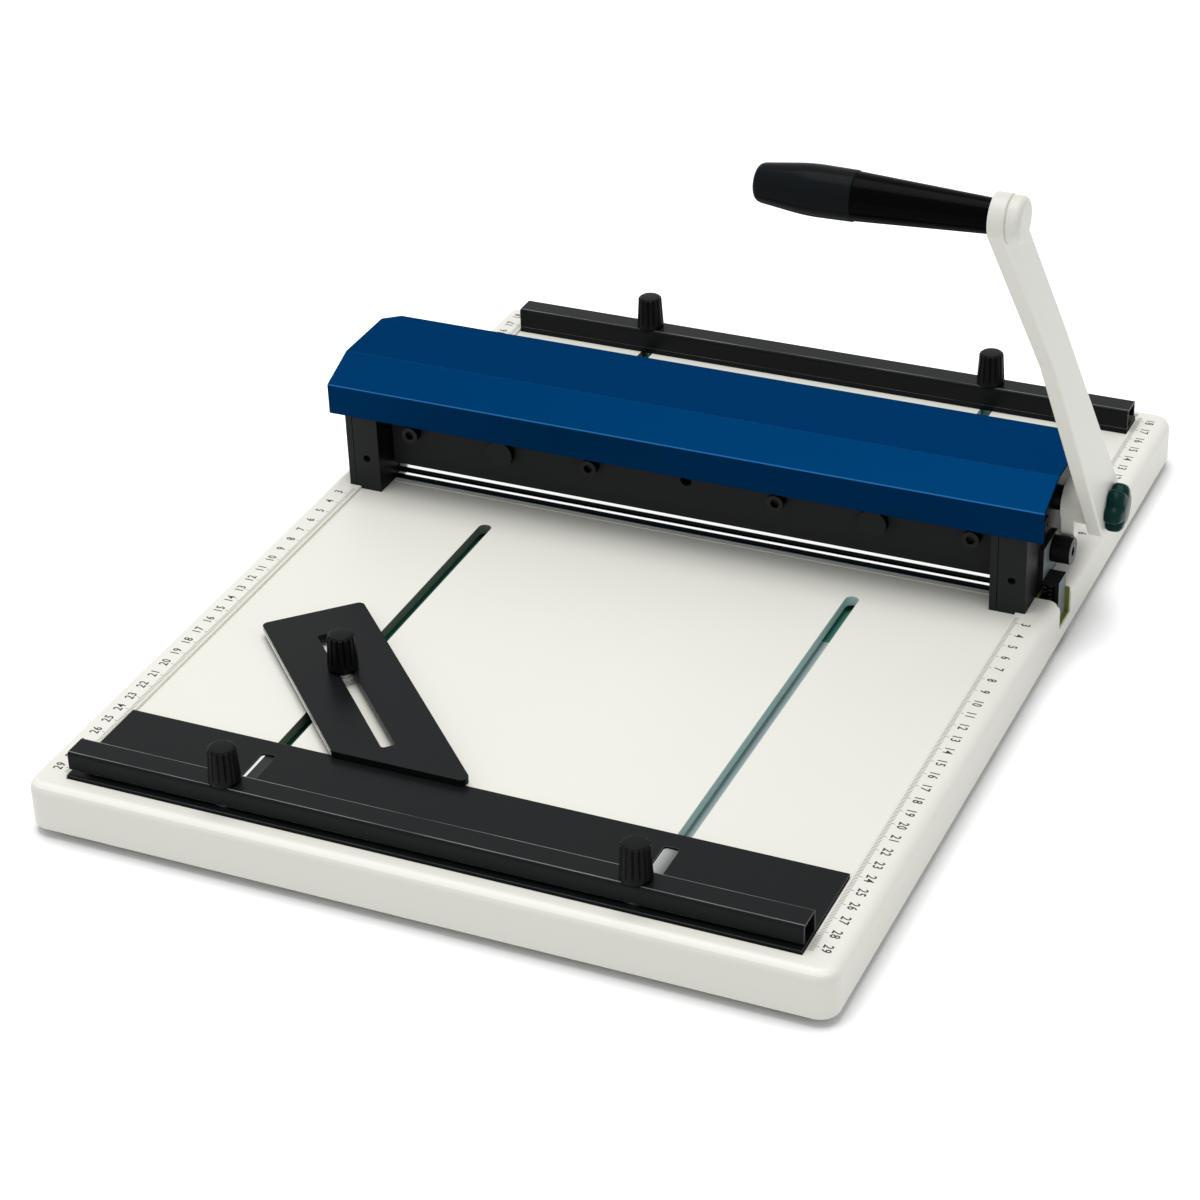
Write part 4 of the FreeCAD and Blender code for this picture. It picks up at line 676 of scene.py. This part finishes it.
# --- meshes ----------------------------------------------------------------------------------------

def new_piece(name, mesh, finish, body, context, smooth=True):
    """An object that rides on a body, with its finish."""
    made = bpy.data.objects.new(name, mesh)
    context.scene.collection.objects.link(made)
    for face in mesh.polygons:
        face.use_smooth = smooth
    mesh.materials.clear()
    mesh.materials.append(material(finish, context))
    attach(made, body)
    return made


def mesh_of(name, shape):
    """A mesh from a bmesh, which it frees."""
    made = bpy.data.meshes.new(name)
    bmesh.ops.recalc_face_normals(shape, faces=shape.faces)
    shape.to_mesh(made)
    shape.free()
    return made


def ringed(rings, place):
    """A closed skin over rings of points, each with the same count, moved to its place on the machine."""
    shape = bmesh.new()
    rows = [[shape.verts.new(place @ Vector(point)) for point in ring] for ring in rings]
    count = len(rows[0])
    for low, high in zip(rows, rows[1:]):
        for i in range(count):
            shape.faces.new((low[i], low[(i + 1) % count], high[(i + 1) % count], high[i]))
    for row in (rows[0], rows[-1]):
        middle = shape.verts.new(sum((v.co for v in row), Vector()) / count)
        for i in range(count):
            shape.faces.new((row[i], row[(i + 1) % count], middle))
    return shape


def rounded_profile(points, steps=5):
    """A line of (radius, height, rounding) points, where each corner that has one becomes a short arc."""
    made = []
    for i, (radius, height, blunt) in enumerate(points):
        here = Vector((radius, height))
        if blunt == 0:
            made.append(here)
            continue
        before = Vector(points[i - 1][:2]) - here
        after = Vector(points[i + 1][:2]) - here
        start = here + before.normalized() * min(blunt, before.length / 2)
        end = here + after.normalized() * min(blunt, after.length / 2)
        for step in range(steps + 1):
            share = step / steps
            made.append(start * (1 - share) ** 2 + here * 2 * share * (1 - share) + end * share ** 2)
    return made


def turned(name, outline, steps, hollow, place):
    """A mesh turned from an outline of (radius, height) points, less a hollow's depth at each angle."""
    angles = [2 * math.pi * i / steps for i in range(steps)]
    rings = []
    for radius, height in outline:
        reaches = [(radius - hollow(radius, height, angle), angle) for angle in angles]
        rings.append([(reach * math.cos(angle), reach * math.sin(angle), height)
                      for reach, angle in reaches])
    return mesh_of(name, ringed(rings, place))


def fluted_knob(node, body, context):
    """A tapered knob with round-bottomed flutes, a plain foot and a slightly raised cap."""
    sizes = context.scene.creaser_sizes
    low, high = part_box(node)
    middle = (low + high) / 2
    height, radius = (high - low).z, (high - low).x / 2
    top = radius * 0.875
    line = rounded_profile([
        (radius * 0.90, 0.0, 0), (radius, 0.0, 0.5 * MM), (radius, 0.10 * height, 0.3 * MM),
        (top, 0.94 * height, 0.5 * MM), (top * 0.93, 0.965 * height, 0.3 * MM),
        (top * 0.86, 0.965 * height, 0.1 * MM), (top * 0.84, 0.99 * height, 0.25 * MM),
        (top * 0.35, height, 0),
    ])
    outline = []
    for start, end in zip(line, line[1:]):
        rise = abs(end.y - start.y)
        pieces = 10 if (end - start).length > 3 * MM and rise > abs(end.x - start.x) else 1
        outline += [start.lerp(end, i / pieces) for i in range(pieces)]
    outline.append(line[-1])
    flute_low, flute_high = 0.13 * height, 0.96 * height

    def flute(reach, level, angle):
        """Depth of the flutes at a point, running out above the foot and below the cap."""
        if level > flute_high + 0.3 * MM or reach < top * 0.92:
            return 0
        fade = min(1, max(0, (level - flute_low) / (1.2 * MM)))
        fade *= min(1, max(0, (flute_high - level) / (0.6 * MM) + 0.4))
        groove = max(0, math.cos(sizes.flutes * angle)) ** 2.2
        return sizes.flute_depth * groove * math.sin(fade * math.pi / 2)

    place = Matrix.Translation((middle.x, middle.y, low.z))
    mesh = turned(node + "_fluted", outline, sizes.flutes * 12, flute, place)
    made = new_piece(node + "_fluted", mesh, "knob", body, context)
    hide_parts(node)


def star_knob(context):
    """A six-lobed knob with a domed face, turned to face away from the lever."""
    sizes = context.scene.creaser_sizes
    lobes = 6
    low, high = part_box("star_knob")
    middle = (low + high) / 2
    widest, thick = (high - low).y / 2, (high - low).x
    outline = rounded_profile([
        (widest * 0.42, 0.0, 0), (widest * 0.93, 0.0, 0.7 * MM), (widest, 0.16 * thick, 0.8 * MM),
        (widest, 0.60 * thick, 2.2 * MM), (widest * 0.86, 0.86 * thick, 1.6 * MM),
        (widest * 0.45, 0.98 * thick, 1.5 * MM), (widest * 0.08, thick, 0),
    ], 8)

    def hollow(radius, _level, angle):
        """Depth of the hollows between the lobes, running out towards the middle."""
        fade = min(1, max(0, (radius / widest - 0.55) / 0.4))
        dip = ((1 + math.cos(lobes * angle)) / 2) ** 2.6
        return sizes.star_notch * dip * math.sin(fade * math.pi / 2)

    outwards = Matrix(((0, 0, 1), (0, 1, 0), (1, 0, 0))).to_4x4()
    place = Matrix.Translation((low.x, middle.y, middle.z)) @ outwards
    mesh = turned("star_knob_lobed", outline, lobes * 24, hollow, place)
    made = new_piece("star_knob_lobed", mesh, "star", "star_knob_body", context)
    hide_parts("star_knob")


def handle_grip(context):
    """A turned grip: a long taper, a fine step, then a crowned end with a rounded rim."""
    low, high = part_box("handle_grip")
    middle = (low + high) / 2
    reach, widest = (high - low).x, (high - low).z / 2
    outline = rounded_profile([
        (3.2 * MM, 0.0, 0), (0.67 * widest, 0.0, 0.4 * MM), (0.935 * widest, 0.566 * reach, 0.3 * MM),
        (0.972 * widest, 0.571 * reach, 0.4 * MM), (widest, 0.77 * reach, 6 * MM),
        (0.745 * widest, 0.985 * reach, 2.4 * MM), (0.45 * widest, reach, 3 * MM),
        (0.05 * widest, reach, 0),
    ], 8)
    inwards = Matrix(((0, 0, -1), (1, 0, 0), (0, 1, 0))).to_4x4()
    place = Matrix.Translation((high.x, middle.y, middle.z)) @ inwards
    mesh = turned("handle_grip_turned", outline, 96, lambda *point: 0, place)
    made = new_piece("handle_grip_turned", mesh, "grip", "grip_body", context)
    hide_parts("handle_grip")


def stop_spring(context):
    """A wound spring with closed, flat ends, in the room of its solid."""
    sizes = context.scene.creaser_sizes
    low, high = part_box("stop_spring")
    middle = (low + high) / 2
    wire = sizes.spring_wire / 2
    radius = (high - low).x / 2 - wire
    bottom, top = low.z + wire, high.z - wire
    turns = (top - bottom) / sizes.spring_pitch
    closed = 1.25  # turns that lie flat at each end
    points_per_turn = 20
    steps = int(turns * points_per_turn)
    curve = bpy.data.curves.new("stop_spring_wire", "CURVE")
    curve.dimensions = "3D"
    spline = curve.splines.new("POLY")
    spline.points.add(steps)
    for i, point in enumerate(spline.points):
        turn = turns * i / steps
        share = min(1, max(0, (turn - closed) / (turns - 2 * closed)))
        height = bottom + (top - bottom) * share
        angle = 2 * math.pi * turn
        point.co = (middle.x + radius * math.cos(angle), middle.y + radius * math.sin(angle), height, 1)
    curve.bevel_depth = wire
    curve.bevel_resolution = 3
    curve.use_fill_caps = True
    holder = bpy.data.objects.new("spring_path", curve)
    mesh = bpy.data.meshes.new_from_object(holder)
    bpy.data.objects.remove(holder)
    made = new_piece("stop_spring_wound", mesh, "oxide", "machine_base", context)
    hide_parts("stop_spring")


def slot_shields(context):
    """Channels under the slots: painted light at the right front slot's front, painted shade elsewhere."""
    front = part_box("front_gauge_runners")[0].y
    cheek_front, cheek_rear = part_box("cheek_plates")[0].y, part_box("cheek_plates")[1].y
    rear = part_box("base_table")[1].y - 12 * MM  # behind the rear slots' ends
    split = cheek_front - 41 * MM  # where the right front shield's painted light gives way to painted shade
    left, right = SLOT_X
    spans = {
        # painted light under the right front slot's front, painted shade elsewhere
        "slot_shield_painted_light": ("shield_with_painted_light", [(right, front, split)]),
        "slot_shields_painted_shade": ("shield_with_painted_shade", [
            (right, split, cheek_front), (left, front, cheek_front),
            (left, cheek_rear, rear), (right, cheek_rear, rear),
        ]),
    }
    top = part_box("front_gauge_bolts")[0].z - 0.2 * MM
    channel = [(-8, -2.2), (-7, -2.2), (-7, -0.6), (7, -0.6), (7, -2.2), (8, -2.2), (8, 0), (-8, 0)]
    count = len(channel)
    for name, (finish, places) in spans.items():
        shape = bmesh.new()
        for x, start, end in places:
            ends = [[shape.verts.new((x + across * MM, y, top + up * MM)) for across, up in channel]
                    for y in (start, end)]
            for i in range(count):
                following = (i + 1) % count
                shape.faces.new((ends[0][i], ends[0][following], ends[1][following], ends[1][i]))
            for cap in ends:
                shape.faces.new(cap)
        mesh = mesh_of(name, shape)
        new_piece(name, mesh, finish, "machine_base", context, smooth=False)


# --- printed scales --------------------------------------------------------------------------------

CENTIMETRE = 10  # in millimetre ticks
FIGURE_SHARE = 0.72  # height of a figure as a share of its letter size
CONDENSED = 0.78
LETTER_SPACING = 1.15
SCALES = {-1: (3, 29), 1: (6, 18)}  # first and last number in front of the crease line and behind it
TICKS_BEFORE, TICKS_AFTER = 5, 3  # millimetre ticks past the first and the last number


def flat_text(text, height, growth):
    """A number as flat faces round the origin, in narrow figures of this height."""
    curve = bpy.data.curves.new("figure", "FONT")
    curve.body = text
    curve.size = height / FIGURE_SHARE
    curve.align_x = "CENTER"
    curve.align_y = "CENTER"
    curve.space_character = LETTER_SPACING
    curve.offset = growth
    curve.resolution_u = 3
    holder = bpy.data.objects.new("figure", curve)
    mesh = bpy.data.meshes.new_from_object(holder)
    bpy.data.objects.remove(holder)
    mesh.transform(Matrix.Diagonal((CONDENSED, 1, 1, 1)))
    return mesh


def scale_marks(context):
    """Centimetre figures and millimetre ticks on both rims, counted from the crease line."""
    sizes = context.scene.creaser_sizes
    level = TABLE_TOP + sizes.print_lift
    figures, ticks = bmesh.new(), bmesh.new()
    for side in (-1, 1):
        for way, (first, last) in SCALES.items():
            for number in range(first, last + 1):
                text = flat_text(str(number), sizes.numeral_height, sizes.stroke_growth)
                turn = Matrix.Rotation(-side * math.pi / 2, 4, "Z")
                y = CREASE_Y + way * number * CENTIMETRE * MM
                place = Matrix.Translation((TABLE_MIDDLE + side * sizes.numeral_centre, y, level))
                text.transform(place @ turn)
                figures.from_mesh(text)
                bpy.data.meshes.remove(text)
            for tick in range(first * CENTIMETRE - TICKS_BEFORE, last * CENTIMETRE + TICKS_AFTER + 1):
                reach = sizes.long_tick if tick % CENTIMETRE == 0 else sizes.tick_length
                y = CREASE_Y + way * tick * MM
                inner = TABLE_MIDDLE + side * sizes.tick_start
                outer = inner + side * reach
                half = sizes.tick_width / 2
                corners = [(inner, y - half), (outer, y - half), (outer, y + half), (inner, y + half)]
                face = ticks.faces.new([ticks.verts.new((*corner, level)) for corner in corners])
                if face.normal.z < 0:
                    face.normal_flip()
    for name, shape in (("scale_figures", figures), ("scale_ticks", ticks)):
        mesh = bpy.data.meshes.new(name)
        shape.to_mesh(mesh)
        shape.free()
        new_piece(name, mesh, "ink", "machine_base", context, smooth=False)


# --- stage -----------------------------------------------------------------------------------------

def key_lamp(context):
    """A large soft lamp over the machine."""
    data = bpy.data.lights.new("key_lamp", "AREA")
    data.shape = "RECTANGLE"
    data.size, data.size_y, data.energy = 1.2, 1.2, 24
    place, target = Vector((-0.12, -0.05, 1.90)), Vector((0, 0, 0.05))
    made = bpy.data.objects.new("key_lamp", data)
    made.location = place
    made.rotation_euler = (target - place).to_track_quat("-Z", "Y").to_euler()
    context.scene.collection.objects.link(made)


def studio_world(context):
    """Even light on the object, and plain white where a camera or mirror ray leaves the stage."""
    world = bpy.data.worlds.new("studio")
    context.scene.world = world
    world.use_nodes = True
    tree = world.node_tree
    tree.nodes.clear()
    light = add(tree, "ShaderNodeBackground", {"Color": (0.97, 0.98, 1.0, 1), "Strength": 0.52})
    white = add(tree, "ShaderNodeBackground", {"Color": (1, 1, 1, 1), "Strength": 1.0})
    mixed = add(tree, "ShaderNodeMixShader", {
        0: seen_directly(tree), 1: light.outputs[0], 2: white.outputs[0]})
    add(tree, "ShaderNodeOutputWorld", {"Surface": mixed.outputs[0]})


def stage_camera(context):
    """A long lens in front, to the right and above."""
    data = bpy.data.cameras.new("camera")
    data.lens = 95.46
    data.sensor_width = 36
    data.clip_start, data.clip_end = 0.05, 20
    place = Matrix.Translation((0.51544, -1.17717, 0.80095))
    azimuth, elevation, roll = 0.437485, 0.545539, -0.0387209
    back = Vector((math.sin(azimuth) * math.cos(elevation), -math.cos(azimuth) * math.cos(elevation),
                   math.sin(elevation)))
    right = Vector((0, 0, 1)).cross(back).normalized()
    up = back.cross(right)
    turned_right = right * math.cos(roll) + up * math.sin(roll)
    turned_up = up * math.cos(roll) - right * math.sin(roll)
    made = bpy.data.objects.new("camera", data)
    made.matrix_world = place @ Matrix((turned_right, turned_up, back)).transposed().to_4x4()
    context.scene.collection.objects.link(made)
    context.scene.camera = made


def stage(context):
    """The floor, the lamp, the world and the camera."""
    floor_half = 6
    shape = bmesh.new()
    bmesh.ops.create_grid(shape, x_segments=1, y_segments=1, size=floor_half)
    floor = bpy.data.objects.new("studio_floor", mesh_of("studio_floor", shape))
    if floor.data.polygons[0].normal.z < 0:
        floor.data.flip_normals()
    floor.data.materials.append(material("floor", context))
    context.scene.collection.objects.link(floor)
    key_lamp(context)
    studio_world(context)
    stage_camera(context)
    context.scene.view_settings.view_transform = "Standard"


# --- operators -------------------------------------------------------------------------------------

class CREASER_OT_paint_table(bpy.types.Operator):
    """Coats the table and finishes its feet and bottom plate"""
    bl_idname = "creaser.paint_table"
    bl_label = "Finish the table"

    def execute(self, context):
        paint(TABLE_NODES, context)
        return {"FINISHED"}


class CREASER_OT_paint_head(bpy.types.Operator):
    """Finishes the cheeks, the press beam, the die, the hood and their screws"""
    bl_idname = "creaser.paint_head"
    bl_label = "Finish the head"

    def execute(self, context):
        paint(HEAD_NODES, context)
        return {"FINISHED"}


class CREASER_OT_paint_lever(bpy.types.Operator):
    """Coats the lever's hub, arm and cap"""
    bl_idname = "creaser.paint_lever"
    bl_label = "Finish the lever"

    def execute(self, context):
        paint(LEVER_NODES, context)
        return {"FINISHED"}


class CREASER_OT_paint_gauges(bpy.types.Operator):
    """Coats the gauges and the side guide and plates their hardware"""
    bl_idname = "creaser.paint_gauges"
    bl_label = "Finish the gauges"

    def execute(self, context):
        paint(GAUGE_NODES, context)
        return {"FINISHED"}


class CREASER_OT_clamping_knobs(bpy.types.Operator):
    """Puts a fluted knob on each clamping bolt"""
    bl_idname = "creaser.clamping_knobs"
    bl_label = "Add the clamping knobs"

    def execute(self, context):
        for node, body in KNOBS.items():
            fluted_knob(node, body, context)
        return {"FINISHED"}


class CREASER_OT_star_knob(bpy.types.Operator):
    """Puts the lobed knob on the lever's stud"""
    bl_idname = "creaser.star_knob"
    bl_label = "Add the star knob"

    def execute(self, context):
        star_knob(context)
        return {"FINISHED"}


class CREASER_OT_handle_grip(bpy.types.Operator):
    """Puts the turned grip on the handle spindle"""
    bl_idname = "creaser.handle_grip"
    bl_label = "Add the grip"

    def execute(self, context):
        handle_grip(context)
        return {"FINISHED"}


class CREASER_OT_stop_spring(bpy.types.Operator):
    """Winds the spring beside the right cheek"""
    bl_idname = "creaser.stop_spring"
    bl_label = "Add the stop spring"

    def execute(self, context):
        stop_spring(context)
        return {"FINISHED"}


class CREASER_OT_slot_shields(bpy.types.Operator):
    """Puts channels with painted light and shade under the table's slots"""
    bl_idname = "creaser.slot_shields"
    bl_label = "Add the slot shields"

    def execute(self, context):
        slot_shields(context)
        return {"FINISHED"}


class CREASER_OT_scales(bpy.types.Operator):
    """Prints the centimetre scales on both rims of the table"""
    bl_idname = "creaser.scales"
    bl_label = "Print the scales"

    def execute(self, context):
        scale_marks(context)
        return {"FINISHED"}


class CREASER_OT_stage(bpy.types.Operator):
    """Sets up the floor, the lamp, the world and the camera"""
    bl_idname = "creaser.stage"
    bl_label = "Set up the stage"

    def execute(self, context):
        stage(context)
        return {"FINISHED"}


STEPS = (
    CREASER_OT_paint_table, CREASER_OT_paint_head, CREASER_OT_paint_lever, CREASER_OT_paint_gauges,
    CREASER_OT_clamping_knobs, CREASER_OT_star_knob, CREASER_OT_handle_grip, CREASER_OT_stop_spring,
    CREASER_OT_slot_shields, CREASER_OT_scales, CREASER_OT_stage,
)


class CREASER_PT_panel(bpy.types.Panel):
    """Sizes, colours and steps of the creasing machine"""
    bl_idname = "CREASER_PT_panel"
    bl_label = "Paper Creasing Machine"
    bl_space_type = "VIEW_3D"
    bl_region_type = "UI"
    bl_category = "Creaser"

    def draw(self, context):
        layout = self.layout
        for group in (context.scene.creaser_sizes, context.scene.creaser_colours):
            box = layout.box()
            for name in group.bl_rna.properties.keys():
                if name not in ("rna_type", "name"):
                    box.prop(group, name)
        for step in STEPS:
            layout.operator(step.bl_idname)


CLASSES = (CreaserSizes, CreaserColours, *STEPS, CREASER_PT_panel)


def register():
    for item in CLASSES:
        bpy.utils.register_class(item)
    bpy.types.Scene.creaser_sizes = PointerProperty(type=CreaserSizes)
    bpy.types.Scene.creaser_colours = PointerProperty(type=CreaserColours)


def unregister():
    del bpy.types.Scene.creaser_colours
    del bpy.types.Scene.creaser_sizes
    for item in reversed(CLASSES):
        bpy.utils.unregister_class(item)


def main():
    register()
    bpy.ops.creaser.paint_table()
    bpy.ops.creaser.paint_head()
    bpy.ops.creaser.paint_lever()
    bpy.ops.creaser.paint_gauges()
    bpy.ops.creaser.clamping_knobs()
    bpy.ops.creaser.star_knob()
    bpy.ops.creaser.handle_grip()
    bpy.ops.creaser.stop_spring()
    bpy.ops.creaser.slot_shields()
    bpy.ops.creaser.scales()
    bpy.ops.creaser.stage()


if __name__ == "__main__":
    main()
